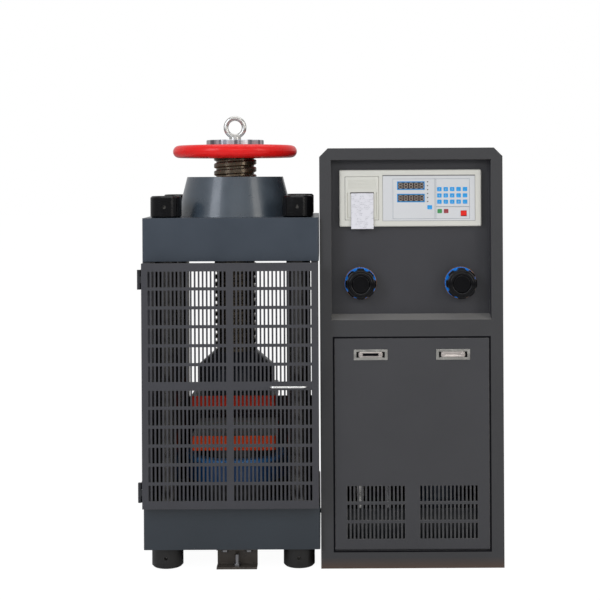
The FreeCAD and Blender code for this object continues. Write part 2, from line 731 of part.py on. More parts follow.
def side_guard(side, edge):
    # A plain sheet between the beams with a flange folded in at its front and back
    outer = side * edge
    inner = side * (edge - SHEET)
    flange = side * (FRAME_X - SIDE_FLANGE)
    low = BASE_TOP
    high = CROSS_BOTTOM - SEAT_GAP
    y = FRAME_Y - BEAM_EDGE
    wall = box(min(outer, inner), max(outer, inner), -y, y, low, high)
    x0, x1 = min(outer, flange), max(outer, flange)
    return wall.fuse([box(x0, x1, -y, -y + SHEET, low, high), box(x0, x1, y - SHEET, y, low, high)])


def rear_guard():
    y = FRAME_Y - BEAM_EDGE
    x = FRAME_X - SIDE_FLANGE
    return box(-x, x, y - 2 * SHEET, y - SHEET, BASE_TOP, BASE_TOP + REAR_GUARD_H).fuse(
        [box(-x, x, y - SIDE_FLANGE, y - 2 * SHEET, BASE_TOP + REAR_GUARD_H - SHEET, BASE_TOP + REAR_GUARD_H)])


def rear_rail():
    y = FRAME_Y - BEAM_EDGE - SHEET
    low = BASE_TOP + REAR_GUARD_H + REAR_RAIL_GAP
    left = -FRAME_X + SHEET
    return box(left, DOOR_RIGHT - SHEET, y - 2 * SHEET, y, low, low + REAR_RAIL_H)


def door_catch():
    # Magnetic catch on the right side guard's front flange, just behind the door
    z = (DOOR_LOW + DOOR_TOP) / 2
    x1 = DOOR_RIGHT - SHEET - SEAT_GAP
    front = DOOR_FRONT + SHEET + SEAT_GAP
    return box(x1 - SIDE_FLANGE / 2, x1, front, -FRAME_Y + BEAM_EDGE, z - SIDE_FLANGE, z + SIDE_FLANGE)


def save_guards():
    save("guard_door", guard_door())
    save("door_hinge_leaves", *[door_leaf(z) for z in hinge_heights()])
    save("frame_hinge_leaves", *[frame_leaf(z) for z in hinge_heights()])
    save("door_hinge_pins", *[hinge_pin(z) for z in hinge_heights()])
    save("door_handle", door_handle())
    save("door_catch", door_catch())
    save("side_guards", side_guard(-1, FRAME_X), side_guard(1, DOOR_RIGHT))
    save("rear_guard", rear_guard(), rear_rail())


# Control cabinet

def cabinet_prism(inset, y0, y1):
    # The cabinet's front outline, drawn in by inset all round, as a block from y0 to y1
    left = CAB_LEFT + inset
    right = CAB_RIGHT - inset
    top = CABINET_H - inset
    cut = CORNER_CUT - inset * (2 - math.sqrt(2))
    outline = [(left, inset), (right, inset), (right, top - cut), (right - cut, top),
               (left + cut, top), (left, top - cut)]
    corners = [V(x, y0, z) for x, z in outline]
    return Part.Face(Part.makePolygon(corners + corners[:1])).extrude(V(0, y1 - y0, 0))


def recess_box(y0, y1, margin=0.0):
    return box(CAB_LEFT + RECESS_BORDER - margin, CAB_RIGHT - RECESS_BORDER + margin, y0, y1,
               RECESS_LOW - margin, RECESS_TOP + margin)


def service_lips():
    # Folds behind the sides and top of the service opening, and an ear for the rod at each side
    front = CAB_FRONT + CABINET_SHEET
    back = front + SERVICE_LIP
    start = SERVICE_HINGE_Z + 2 * SERVICE_ROLL_R
    sheet = CABINET_SHEET
    lips = [box(SERVICE_LEFT - sheet, SERVICE_LEFT, front, back, start, SERVICE_TOP),
            box(SERVICE_RIGHT, SERVICE_RIGHT + sheet, front, back, start, SERVICE_TOP),
            box(SERVICE_LEFT - sheet, SERVICE_RIGHT + sheet, front, back, SERVICE_TOP, SERVICE_TOP + sheet)]
    reach = 2 * SERVICE_ROLL_R
    for x in (SERVICE_LEFT - SERVICE_EAR_T, SERVICE_RIGHT):
        lips.append(box(x, x + SERVICE_EAR_T, front, SERVICE_HINGE_Y + reach,
                        SERVICE_HINGE_Z - reach, SERVICE_HINGE_Z + reach))
    return lips


def rod_line(radius, extra=0.0):
    y, z = SERVICE_HINGE_Y, SERVICE_HINGE_Z
    return rod(radius, V(SERVICE_LEFT - SERVICE_EAR_T - extra, y, z), V(SERVICE_RIGHT + SERVICE_EAR_T + extra, y, z))


def cabinet_shell():
    sheet = CABINET_SHEET
    shell = cabinet_prism(0, CAB_FRONT, CAB_BACK).cut(cabinet_prism(sheet, CAB_FRONT + sheet, CAB_BACK))
    service = box(SERVICE_LEFT, SERVICE_RIGHT, CAB_FRONT, CAB_FRONT + sheet, SERVICE_LOW, SERVICE_TOP)
    shell = shell.cut([recess_box(CAB_FRONT, CAB_FRONT + sheet), service]).fuse(service_lips())
    pipe_way = rod(PIPE_D / 2 + STEM_CLEAR, V(CAB_LEFT - 1, 0, PORT_Z), V(CAB_LEFT + sheet + 1, 0, PORT_Z))
    return shell.cut([rod_line(SERVICE_ROD_R + FIXED_FIT), pipe_way])


def cabinet_back():
    panel = cabinet_prism(CABINET_SHEET + FIXED_FIT, CAB_BACK - BACK_SHEET, CAB_BACK)
    x = CAB_X + GLAND_X
    return panel.cut(rod(GLAND_D / 4 + FIXED_FIT, V(x, CAB_BACK - BACK_SHEET, GLAND_Z), V(x, CAB_BACK, GLAND_Z)))


def cable_gland():
    # Flanged gland in the back panel: a threaded neck through the sheet, a hexagon and a dome nut
    x = CAB_X + GLAND_X
    neck = rod(GLAND_D / 4, V(x, CAB_BACK - BACK_SHEET - GLAND_L / 3, GLAND_Z), V(x, CAB_BACK, GLAND_Z))
    hexagon = hex_bar(GLAND_D, V(x, CAB_BACK, GLAND_Z), V(0, 1, 0), GLAND_L / 2)
    dome = Part.makeCone(GLAND_D * 0.42, GLAND_D * 0.3, GLAND_L / 2, V(x, CAB_BACK + GLAND_L / 2, GLAND_Z), V(0, 1, 0))
    bore = rod(GLAND_BORE / 2, V(x, CAB_BACK - GLAND_L, GLAND_Z), V(x, CAB_BACK + GLAND_L, GLAND_Z))
    return hexagon.fuse([neck, dome]).cut(bore)


def recess_tray():
    # Folded tray behind the upper opening. Its sill slopes up towards the back.
    sheet = CABINET_SHEET
    front = CAB_FRONT + sheet
    left = CAB_LEFT + RECESS_BORDER
    right = CAB_RIGHT - RECESS_BORDER
    walls = recess_box(front, PANEL_PLANE + sheet, sheet).cut(recess_box(front, PANEL_PLANE))
    drop = 2 * sheet
    sill = [V(left, front, RECESS_LOW), V(left, PANEL_PLANE, RECESS_LOW + SILL_RISE),
            V(left, PANEL_PLANE, RECESS_LOW + SILL_RISE - drop), V(left, front + drop, RECESS_LOW)]
    wedge = Part.Face(Part.makePolygon(sill + sill[:1])).extrude(V(right - left, 0, 0))
    margin = CASE_MARGIN - FIXED_FIT
    way = box(PANEL_LEFT + margin, PANEL_RIGHT - margin, PANEL_PLANE, PANEL_PLANE + sheet,
              PANEL_LOW + margin, PANEL_TOP - margin)
    stems = [rod(STEM_D / 2 + STEM_CLEAR, V(x, PANEL_PLANE, KNOB_Z), V(x, BLOCK_FRONT, KNOB_Z)) for x in knob_places()]
    return walls.fuse(wedge).cut([way] + stems)


def save_cabinet():
    save("cabinet_shell", cabinet_shell())
    save("cabinet_back", cabinet_back())
    save("cable_gland", cable_gland())
    save("recess_tray", recess_tray())


# Service door with its vents and two flush latches

def vent_holes():
    low = SERVICE_LOW + VENT_LOW
    rows = [low + i * VENT_ROW_PITCH for i in range(VENT_ROWS)]
    offsets = [VENT_MID_GAP / 2 + i * SLOT_PITCH for i in range(VENT_SLOTS)]
    return slot_holes([CAB_X + side * offset for side in (-1, 1) for offset in offsets], rows)


def latch_places():
    return [CAB_X - LATCH_X, CAB_X + LATCH_X]


def latch_hole(x):
    half_w = LATCH_W / 2 - LATCH_FLANGE + FIXED_FIT
    half_h = LATCH_H / 2 - LATCH_FLANGE + FIXED_FIT
    return (x - half_w, x + half_w, LATCH_Z - half_h, LATCH_Z + half_h)


def service_door():
    left = SERVICE_LEFT + SERVICE_GAP
    right = SERVICE_RIGHT - SERVICE_GAP
    top = SERVICE_TOP - SERVICE_GAP
    fold = SERVICE_HINGE_Z + 2 * SERVICE_ROLL_R
    holes = vent_holes() + [latch_hole(x) for x in latch_places()]
    sheet = pierced_sheet(left, right, SERVICE_HINGE_Z + 1, top, CAB_FRONT, SHEET, holes)
    back = CAB_FRONT + SERVICE_RETURN
    folds = [box(left, left + SHEET, CAB_FRONT, back, fold, top), box(right - SHEET, right, CAB_FRONT, back, fold, top),
             box(left, right, CAB_FRONT, back, top - SHEET, top)]
    ends = [V(left, SERVICE_HINGE_Y, SERVICE_HINGE_Z), V(right, SERVICE_HINGE_Y, SERVICE_HINGE_Z)]
    roll = tube(SERVICE_ROLL_R, SERVICE_ROD_R + RUNNING_FIT, *ends)
    return sheet.fuse(folds + [roll])


def latch_cup(x):
    # Flange on the door's face and a shallow cup through it
    half_w = LATCH_W / 2
    half_h = LATCH_H / 2
    flange = box(x - half_w, x + half_w, CAB_FRONT - LATCH_T, CAB_FRONT, LATCH_Z - half_h, LATCH_Z + half_h)
    cup_w = half_w - LATCH_FLANGE
    cup_h = half_h - LATCH_FLANGE
    back = CAB_FRONT + LATCH_CUP_DEPTH
    cup = box(x - cup_w, x + cup_w, CAB_FRONT, back, LATCH_Z - cup_h, LATCH_Z + cup_h)
    in_w = cup_w - LATCH_WALL
    in_h = cup_h - LATCH_WALL + 1
    hollow = box(x - in_w, x + in_w, CAB_FRONT - LATCH_T, back - LATCH_WALL, LATCH_Z - in_h, LATCH_Z + in_h)
    return flange.fuse(cup).cut([hollow, latch_pin(x)])


def latch_pin(x):
    pin_x = x - LEVER_W / 2 + LEVER_PIN_IN
    y = CAB_FRONT - LEVER_PROUD + LEVER_T / 2
    half = LATCH_H / 2 - LATCH_FLANGE
    return upright(LEVER_PIN_R, pin_x, y, LATCH_Z - half, LATCH_Z + half)


def latch_lever(x):
    # Flat lever with round ends that swings out about the pin near its left end
    half = LEVER_W / 2
    round_r = (LATCH_H / 2 - LATCH_FLANGE) - LATCH_WALL + 1 - SEAT_GAP
    y0 = CAB_FRONT - LEVER_PROUD
    y1 = y0 + LEVER_T
    bar = box(x - half + round_r, x + half - round_r, y0, y1, LATCH_Z - round_r, LATCH_Z + round_r)
    ends = [rod(round_r, V(x + s * (half - round_r), y0, LATCH_Z), V(x + s * (half - round_r), y1, LATCH_Z))
            for s in (-1, 1)]
    dip = rod(round_r * 0.6, V(x + half - round_r, y0, LATCH_Z), V(x + half - round_r, y0 + LEVER_T / 4, LATCH_Z))
    pin = latch_pin(x)
    hole = upright(LEVER_PIN_R + RUNNING_FIT, pin.CenterOfMass.x, pin.CenterOfMass.y,
                   LATCH_Z - LATCH_H, LATCH_Z + LATCH_H)
    return bar.fuse(ends).cut([dip, hole])


def save_service_door():
    save("service_door", service_door())
    save("service_hinge_rod", rod_line(SERVICE_ROD_R))
    save("latch_cups", *[latch_cup(x) for x in latch_places()], *[latch_pin(x) for x in latch_places()])
    for name, x in zip(["left", "right"], latch_places()):
        save("latch_lever_" + name, latch_lever(x))


# Control panel with displays, keypad film, power rocker and printer

def panel_bezel():
    block = box(PANEL_LEFT, PANEL_RIGHT, PANEL_FACE, PANEL_PLANE, PANEL_LOW, PANEL_TOP)
    edges = [e for e in block.Edges if min(v.Y for v in e.Vertexes) < PANEL_FACE + SEAT_GAP]
    block = block.makeFillet(PANEL_EDGE, edges)
    margin = FIXED_FIT
    film = box(OVERLAY_X0 - margin, OVERLAY_X1 + margin, PANEL_FACE, PANEL_FACE + OVERLAY_T,
               PANEL_Z - OVERLAY_H / 2 - margin, PANEL_Z + OVERLAY_H / 2 + margin)
    printer = box(PRINTER_X0 - margin, PRINTER_X1 + margin, PANEL_FACE, PANEL_PLANE,
                  PRINTER_LOW - margin, PRINTER_TOP + margin)
    return block.cut([film, printer, rocker_way(), rocker_pin(RUNNING_FIT)])


def rocker_way():
    return box(ROCKER_X - ROCKER_W / 2, ROCKER_X + ROCKER_W / 2, PANEL_FACE, PANEL_PLANE,
               ROCKER_Z - ROCKER_H / 2, ROCKER_Z + ROCKER_H / 2)


def rocker_pin(fit):
    y = PANEL_FACE + ROCKER_DEPTH
    half = ROCKER_W / 2 + ROCKER_PIN_L
    return rod(ROCKER_PIN_R + fit, V(ROCKER_X - half, y, ROCKER_Z), V(ROCKER_X + half, y, ROCKER_Z))


def power_rocker():
    # Hollow-faced rocker, resting with its lower end out
    pivot = V(0, PANEL_FACE + ROCKER_DEPTH, ROCKER_Z)
    half = ROCKER_H / 2 - 1
    x0 = ROCKER_X - ROCKER_W / 2 + SEAT_GAP
    outline = [(-ROCKER_DEPTH, -half), (-ROCKER_DEPTH + ROCKER_DIP, 0), (-ROCKER_DEPTH, half),
               (0, half), (ROCKER_DEPTH / 2, 0), (0, -half)]
    points = [V(x0, pivot.y + y, pivot.z + z) for y, z in outline]
    cap = Part.Face(Part.makePolygon(points + points[:1])).extrude(V(ROCKER_W - 2 * SEAT_GAP, 0, 0))
    cap.rotate(pivot, V(1, 0, 0), -ROCKER_DEG / 2)
    return cap.fuse(rocker_pin(0))


def window_holes():
    x0 = OVERLAY_X0 + WINDOW_LEFT
    top = PANEL_Z + OVERLAY_H / 2 - WINDOW_TOP
    return [(x0, x0 + WINDOW_W, top - i * WINDOW_PITCH - WINDOW_H, top - i * WINDOW_PITCH) for i in range(2)]


def keypad_overlay():
    rocker = (ROCKER_X - ROCKER_W / 2, ROCKER_X + ROCKER_W / 2, ROCKER_Z - ROCKER_H / 2, ROCKER_Z + ROCKER_H / 2)
    return pierced_sheet(OVERLAY_X0, OVERLAY_X1, PANEL_Z - OVERLAY_H / 2, PANEL_Z + OVERLAY_H / 2, PANEL_FACE,
                         OVERLAY_T, window_holes() + [rocker])


def display_windows():
    inset = FIXED_FIT
    return [box(x0 + inset, x1 - inset, PANEL_FACE, PANEL_FACE + OVERLAY_T, z0 + inset, z1 - inset)
            for x0, x1, z0, z1 in window_holes()]


def controller_case():
    # Open-fronted box behind the panel, through the recess plate
    sheet = CASE_SHEET
    back = PANEL_PLANE + CASE_DEPTH
    sides = [PANEL_LEFT + CASE_MARGIN, PANEL_RIGHT - CASE_MARGIN]
    ends = [PANEL_LOW + CASE_MARGIN, PANEL_TOP - CASE_MARGIN]
    outer = box(*sides, PANEL_PLANE, back, *ends)
    inner = box(sides[0] + sheet, sides[1] - sheet, PANEL_PLANE, back - sheet, ends[0] + sheet, ends[1] - sheet)
    return outer.cut(inner)


def paper_slot():
    half = PAPER_W / 2 + 1
    return (PRINTER_X - half, PRINTER_X + half, PAPER_EXIT_Z - PAPER_SLOT_H / 2, PAPER_EXIT_Z + PAPER_SLOT_H / 2)


def printer_cover():
    front = PANEL_FACE - PRINTER_STEP
    back = front + PRINTER_COVER_T
    plate = box(PRINTER_X0, PRINTER_X1, front, back, PRINTER_LOW, PRINTER_TOP)
    outer = [e for e in plate.Edges if max(v.Y for v in e.Vertexes) < front + FIXED_FIT]
    x0, x1, z0, z1 = paper_slot()
    return plate.makeChamfer(PRINTER_STEP / 2, outer).cut(box(x0, x1, front, back, z0, z1))


def roll_centre(x):
    y = PANEL_FACE + PRINTER_COVER_T + PAPER_BEND_IN + PAPER_ROLL_D / 2
    return V(x, y, PRINTER_LOW + PRINTER_WALL + PAPER_ROLL_D / 2 + 3 * PRINTER_WALL)


def printer_body():
    # Open-fronted cradle with the roll's spindle across it
    front = PANEL_FACE - PRINTER_STEP + PRINTER_COVER_T
    wall = PRINTER_WALL
    outer = box(PRINTER_X0, PRINTER_X1, front, front + PRINTER_DEPTH, PRINTER_LOW, PRINTER_TOP)
    inner = box(PRINTER_X0 + wall, PRINTER_X1 - wall, front, front + PRINTER_DEPTH - wall,
                PRINTER_LOW + wall, PRINTER_TOP - wall)
    spindle = rod(SPINDLE_D / 2, roll_centre(PRINTER_X0 + wall / 2), roll_centre(PRINTER_X1 - wall / 2))
    return outer.cut(inner).fuse(spindle)


def print_head():
    front = PANEL_FACE - PRINTER_STEP + PRINTER_COVER_T
    low = PAPER_EXIT_Z + PAPER_SLOT_H / 2
    head = box(PRINTER_X - PAPER_W / 2, PRINTER_X + PAPER_W / 2, front, front + HEAD_D, low, low + HEAD_H)
    arms = box(PRINTER_X0 + PRINTER_WALL, PRINTER_X1 - PRINTER_WALL, front + HEAD_D / 2, front + HEAD_D,
               low + HEAD_H / 2, low + HEAD_H)
    return head.fuse(arms)


def paper_roll():
    half = PAPER_W / 2
    ends = [roll_centre(PRINTER_X - half), roll_centre(PRINTER_X + half)]
    return tube(PAPER_ROLL_D / 2, SPINDLE_D / 2 + RUNNING_FIT, *ends)


def paper_edge(offset):
    # One face of the paper, from the roll up through the slot and down in front of the panel
    x = PRINTER_X - PAPER_W / 2
    inside = PANEL_FACE + PRINTER_COVER_T + PAPER_BEND_IN - 1
    turn_in = PAPER_BEND_IN
    outside = PANEL_FACE - PRINTER_STEP - PAPER_STANDOFF
    turn_out = PAPER_STANDOFF - 1
    top = PAPER_EXIT_Z + offset
    k = math.sqrt(0.5)
    in_r = turn_in + offset
    out_r = turn_out + offset
    in_c = V(x, inside - turn_in, PAPER_EXIT_Z - turn_in)
    out_c = V(x, outside + turn_out, PAPER_EXIT_Z - turn_out)
    a = V(x, in_c.y + in_r, roll_centre(x).z)
    b = V(x, in_c.y + in_r, in_c.z)
    c = V(x, in_c.y, top)
    d = V(x, out_c.y, top)
    e = V(x, out_c.y - out_r, out_c.z)
    f = V(x, out_c.y - out_r, PAPER_EXIT_Z - PAPER_DROP)
    edges = [Part.makeLine(a, b), Part.Arc(b, in_c + V(0, in_r * k, in_r * k), c).toShape(), Part.makeLine(c, d),
             Part.Arc(d, out_c + V(0, -out_r * k, out_r * k), e).toShape(), Part.makeLine(e, f)]
    return edges, a, f


def paper_strip():
    outer, a0, f0 = paper_edge(PAPER_T / 2)
    inner, a1, f1 = paper_edge(-PAPER_T / 2)
    loop = Part.Wire(Part.__sortEdges__(outer + inner + [Part.makeLine(a0, a1), Part.makeLine(f0, f1)]))
    return Part.Face(loop).extrude(V(PAPER_W, 0, 0))


def save_panel():
    save("panel_bezel", panel_bezel())
    save("keypad_overlay", keypad_overlay())
    save("display_windows", *display_windows())
    save("controller_case", controller_case())
    save("power_rocker", power_rocker())
    save("printer_cover", printer_cover())
    save("printer_body", printer_body())
    save("print_head", print_head())
    save("paper_roll", paper_roll())
    save("paper_strip", paper_strip())


# Two valve knobs on the valve block

def knob_places():
    return [CAB_X - KNOB_X, CAB_X + KNOB_X]


def valve_knob(x):
    # Lobed knob with a raised cap, on its stem
    radius = KNOB_D / 2
    cap = KNOB_CAP_D / 2
    stem = STEM_D / 2
    soft = KNOB_T / 3
    k = 1 - math.sqrt(0.5)
    back = PANEL_PLANE - KNOB_STANDOFF
    face = back - KNOB_T
    edge = radius - soft
    corner = Part.Arc(V(radius, face + soft, 0), V(radius - k * soft, face + k * soft, 0), V(edge, face, 0)).toShape()
    start = Part.makePolygon([V(0, back, 0), V(radius - 1, back, 0), V(radius, back - 1, 0), V(radius, face + soft, 0)])
    end = Part.makePolygon([V(edge, face, 0), V(cap + 2, face, 0), V(cap + 2, face + 1, 0), V(cap, face + 1, 0),
                            V(cap, face - KNOB_CAP_T + 1, 0), V(cap - 1, face - KNOB_CAP_T, 0),
                            V(0, face - KNOB_CAP_T, 0), V(0, back, 0)])
    knob = Part.Face(Part.Wire(start.Edges + [corner] + end.Edges)).revolve(V(0, 0, 0), V(0, 1, 0), 360)
    scallops = []
    for i in range(KNOB_LOBES):
        angle = 2 * math.pi * (i + 0.5) / KNOB_LOBES
        reach = radius + KNOB_SCALLOP_R - KNOB_SCALLOP_CUT
        at = V(reach * math.cos(angle), face - KNOB_CAP_T, reach * math.sin(angle))
        scallops.append(rod(KNOB_SCALLOP_R, at, at + V(0, KNOB_T + 2 * KNOB_CAP_T, 0)))
    shaft = rod(stem, V(0, back - STEM_IN_KNOB, 0), V(0, BLOCK_FRONT + STEM_IN_BLOCK, 0))
    return knob.cut(scallops).fuse(shaft).translated(V(x, 0, KNOB_Z))


def dial_plate(x):
    ends = [V(x, PANEL_PLANE - DIAL_T, KNOB_Z), V(x, PANEL_PLANE, KNOB_Z)]
    return tube(DIAL_D / 2, STEM_D / 2 + STEM_CLEAR, *ends)


def valve_block():
    half = VALVE_BLOCK_W / 2
    low = KNOB_Z - VALVE_BLOCK_H / 2
    block = box(CAB_X - half, CAB_X + half, BLOCK_FRONT, BLOCK_FRONT + VALVE_BLOCK_D, low, low + VALVE_BLOCK_H)
    deep = STEM_IN_BLOCK + SEAT_GAP
    bores = [rod(STEM_D / 2 + RUNNING_FIT, V(x, BLOCK_FRONT, KNOB_Z), V(x, BLOCK_FRONT + deep, KNOB_Z))
             for x in knob_places()]
    return block.cut(bores)


def pressure_sensor():
    z = KNOB_Z + VALVE_BLOCK_H / 2
    hexagon = hex_bar(SENSOR_D, V(CAB_X, BLOCK_Y, z), V(0, 0, 1), SENSOR_H / 3)
    barrel = upright(SENSOR_D * 0.38, CAB_X, BLOCK_Y, z + SENSOR_H / 3, z + SENSOR_H)
    return hexagon.fuse(barrel)


def hex_bar(across, start, along, length):
    # Hexagonal bar, across its flats, from start
    side = V(1, 0, 0) if abs(along.x) < 0.5 else V(0, 1, 0)
    other = along.cross(side)
    radius = across / math.sqrt(3)
    corners = [start + side * (radius * math.cos(math.radians(60 * i))) + other * (radius * math.sin(math.radians(60 * i)))
               for i in range(6)]
    return Part.Face(Part.makePolygon(corners + corners[:1])).extrude(along * length)


def save_valves():
    for name, x in zip(["left", "right"], knob_places()):
        save("valve_knob_" + name, valve_knob(x))
    save("dial_plates", *[dial_plate(x) for x in knob_places()])
    save("valve_block", valve_block())
    save("pressure_sensor", pressure_sensor())


# Hydraulic pump unit in the cabinet

def oil_tank():
    half = TANK_W / 2
    wall = TANK_WALL
    back = TANK_FRONT + TANK_D
    outer = box(CAB_X - half, CAB_X + half, TANK_FRONT, back, TANK_LOW, TANK_TOP)
    inner = box(CAB_X - half + wall, CAB_X + half - wall, TANK_FRONT + wall, back - wall, TANK_LOW + wall, TANK_TOP)
    pad = 3 * TANK_FEET
    feet = []
    for x in (CAB_X - half, CAB_X + half - pad):
        for y in (TANK_FRONT, back - pad):
            feet.append(box(x, x + pad, y, y + pad, CABINET_SHEET, TANK_LOW))
    return outer.cut(inner).fuse(feet)


def tank_lid():
    half = TANK_W / 2
    lid = box(CAB_X - half, CAB_X + half, TANK_FRONT, TANK_FRONT + TANK_D, TANK_TOP, LID_TOP)
    shaft = upright(PUMP_SHAFT_D / 2 + FIXED_FIT, CAB_X + MOTOR_X, TANK_Y, TANK_TOP, LID_TOP)
    return lid.cut(shaft)


def oil_pump():
    x = CAB_X + MOTOR_X
    low = TANK_LOW + TANK_WALL + TANK_FEET
    body = upright(PUMP_D / 2, x, TANK_Y, low, TANK_TOP)
    return body.fuse(upright(PUMP_SHAFT_D / 2, x, TANK_Y, TANK_TOP, LID_TOP))


def pump_motor():
    x = CAB_X + MOTOR_X
    radius = MOTOR_D / 2
    top = LID_TOP + MOTOR_H
    foot = LID_TOP + MOTOR_FLANGE_H
    body = turned([(0, LID_TOP), (MOTOR_FLANGE_D / 2, LID_TOP), (MOTOR_FLANGE_D / 2, foot), (radius - FIN_H, foot),
                   (radius - FIN_H, top), (0, top)], x, TANK_Y)
    fins = []
    for i in range(MOTOR_FINS):
        fin = box(radius - 2 * FIN_H, radius, -FIN_T / 2, FIN_T / 2, foot, top)
        fin.rotate(V(0, 0, 0), V(0, 0, 1), 360 * i / MOTOR_FINS)
        fins.append(fin.translated(V(x, TANK_Y, 0)))
    terminal = box(x - TERMINAL_W / 2, x + TERMINAL_W / 2, TANK_Y - radius - TERMINAL_D, TANK_Y - radius + 2 * FIN_H,
                   foot + TERMINAL_H, foot + 2 * TERMINAL_H)
    return body.fuse(fins + [terminal])


def motor_cowl():
    low = LID_TOP + MOTOR_H
    radius = MOTOR_D / 2
    edge = COWL_H / 4
    return turned([(0, low), (radius, low), (radius, low + COWL_H - edge), (radius - edge, low + COWL_H),
                   (0, low + COWL_H)], CAB_X + MOTOR_X, TANK_Y)


def filler_cap():
    radius = FILLER_D / 2
    neck = radius * 0.7
    low = LID_TOP
    step = FILLER_H / 2
    return turned([(0, low), (neck, low), (neck, low + step), (radius, low + step), (radius, low + FILLER_H - NUT_EDGE),
                   (radius - NUT_EDGE, low + FILLER_H), (0, low + FILLER_H)], CAB_X + FILLER_X, BLOCK_Y)


def bent_pipe(points):
    # Round pipe along straight runs joined by bends
    edges = []
    start = points[0]
    for before, at, after in zip(points, points[1:], points[2:]):
        back = (before - at).normalize() * PIPE_BEND_R
        ahead = (after - at).normalize() * PIPE_BEND_R
        centre = at + back + ahead
        via = centre + (at - centre).normalize() * PIPE_BEND_R
        edges.append(Part.makeLine(start, at + back))
        edges.append(Part.Arc(at + back, via, at + ahead).toShape())
        start = at + ahead
    edges.append(Part.makeLine(start, points[-1]))
    first = points[1] - points[0]
    section = Part.Wire(Part.makeCircle(PIPE_D / 2, points[0], first))
    return Part.Wire(edges).makePipeShell([section], True, False)


def ram_pipe():
    x = CAB_LEFT + PIPE_FROM_WALL
    block_end = CAB_X - VALVE_BLOCK_W / 2
    return bent_pipe([V(CYLINDER_D / 2 - PIPE_SEAT, 0, PORT_Z), V(x, 0, PORT_Z), V(x, 0, KNOB_Z),
                      V(x, BLOCK_Y, KNOB_Z), V(block_end, BLOCK_Y, KNOB_Z)])


def feed_pipe():
    x = CAB_X + FEED_X
    return upright(PIPE_D / 2, x, BLOCK_Y, LID_TOP, KNOB_Z - VALVE_BLOCK_H / 2)


def pipe_fittings():
    x = CAB_X + FEED_X
    low = V(x, BLOCK_Y, LID_TOP)
    high = V(x, BLOCK_Y, KNOB_Z - VALVE_BLOCK_H / 2 - FITTING_H)
    side = V(CAB_X - VALVE_BLOCK_W / 2 - FITTING_H, BLOCK_Y, KNOB_Z)
    runs = [(low, V(0, 0, 1)), (high, V(0, 0, 1)), (side, V(1, 0, 0))]
    return [hex_bar(FITTING_D, start, along, FITTING_H).cut(
        rod(PIPE_D / 2 + FIXED_FIT, start, start + along * FITTING_H)) for start, along in runs]


def save_pump_unit():
    save("oil_tank", oil_tank())
    save("tank_lid", tank_lid())
    save("oil_pump", oil_pump())
    save("pump_motor", pump_motor())
    save("motor_cowl", motor_cowl())
    save("filler_cap", filler_cap())
    save("oil_pipes", ram_pipe(), feed_pipe())
    save("pipe_fittings", *pipe_fittings())


# Folded bracket under the base beam, for an anchor in the floor

def bracket_line():
    return -FRAME_Y + BRACKET_FROM_FRONT


def anchor_bracket():
    front = bracket_line()
    back = front + BRACKET_FLANGE
    x0 = BRACKET_X - BRACKET_W / 2
    x1 = BRACKET_X + BRACKET_W / 2
    t = BRACKET_T
    web = box(x0, x1, back - t, back, 0, FOOT_H)
    shape = web.fuse([box(x0, x1, front, back, 0, t), box(x0, x1, front, back, FOOT_H - t, FOOT_H)])
    y = (front + back - t) / 2
    holes = [upright(BOLT_D / 2 + FIXED_FIT, x, y, FOOT_H - t, FOOT_H) for x in bolt_places()]
    return shape.cut(holes + [upright(BOLT_D / 2 + FIXED_FIT, BRACKET_X, y, 0, t)])


def bolt_places():
    return [BRACKET_X - BOLT_PITCH / 2, BRACKET_X + BOLT_PITCH / 2]


def bracket_bolts():
    y = bracket_line() + (BRACKET_FLANGE - BRACKET_T) / 2
    under = FOOT_H - BRACKET_T
    bolts = []
    for x in bolt_places():
        head = hex_bar(BOLT_HEAD_D, V(x, y, under - BOLT_HEAD_H), V(0, 0, 1), BOLT_HEAD_H)
        bolts.append(head.fuse(upright(BOLT_D / 2, x, y, under, FOOT_H)))
    nut = hex_bar(BOLT_HEAD_D, V(BRACKET_X, y, BRACKET_T), V(0, 0, 1), BOLT_HEAD_H)
    bolts.append(nut.fuse(upright(BOLT_D / 2, BRACKET_X, y, 0, ANCHOR_L)))
    return bolts


def save_bracket():
    save("anchor_bracket", anchor_bracket())
    save("bracket_bolts", *bracket_bolts())


save_load_frame()
save_ram()
save_upper_platen()
save_screw()
save_guards()
save_cabinet()
save_service_door()
save_panel()
save_valves()
save_pump_unit()
save_bracket()
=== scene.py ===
import math

import bmesh
import bpy
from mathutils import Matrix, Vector


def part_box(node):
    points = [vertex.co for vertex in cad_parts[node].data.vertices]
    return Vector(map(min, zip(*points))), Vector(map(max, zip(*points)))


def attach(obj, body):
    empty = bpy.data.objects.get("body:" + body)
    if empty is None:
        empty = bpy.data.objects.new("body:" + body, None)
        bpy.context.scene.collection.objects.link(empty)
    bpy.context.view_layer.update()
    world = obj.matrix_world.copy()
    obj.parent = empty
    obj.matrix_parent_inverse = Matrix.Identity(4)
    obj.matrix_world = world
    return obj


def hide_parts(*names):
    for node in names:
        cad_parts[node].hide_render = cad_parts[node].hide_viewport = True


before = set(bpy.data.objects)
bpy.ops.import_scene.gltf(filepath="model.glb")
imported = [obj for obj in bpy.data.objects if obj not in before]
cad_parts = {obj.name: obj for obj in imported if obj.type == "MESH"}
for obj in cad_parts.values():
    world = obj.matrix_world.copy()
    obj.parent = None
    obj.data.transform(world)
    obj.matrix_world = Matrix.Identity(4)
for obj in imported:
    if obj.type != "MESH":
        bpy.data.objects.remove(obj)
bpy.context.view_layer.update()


# Viewpoint.
# The machine was photographed from straight ahead, at the height of its control panel, from a
# little over three metres away. The lens is level and is shifted down and left to frame it.
CAMERA_PLACE = (0.004, -3.4165, 1.011)
CAMERA_ROLL = 0.3
CAMERA_LENS = 75.9
CAMERA_SHIFT = (-0.0368, -0.208)

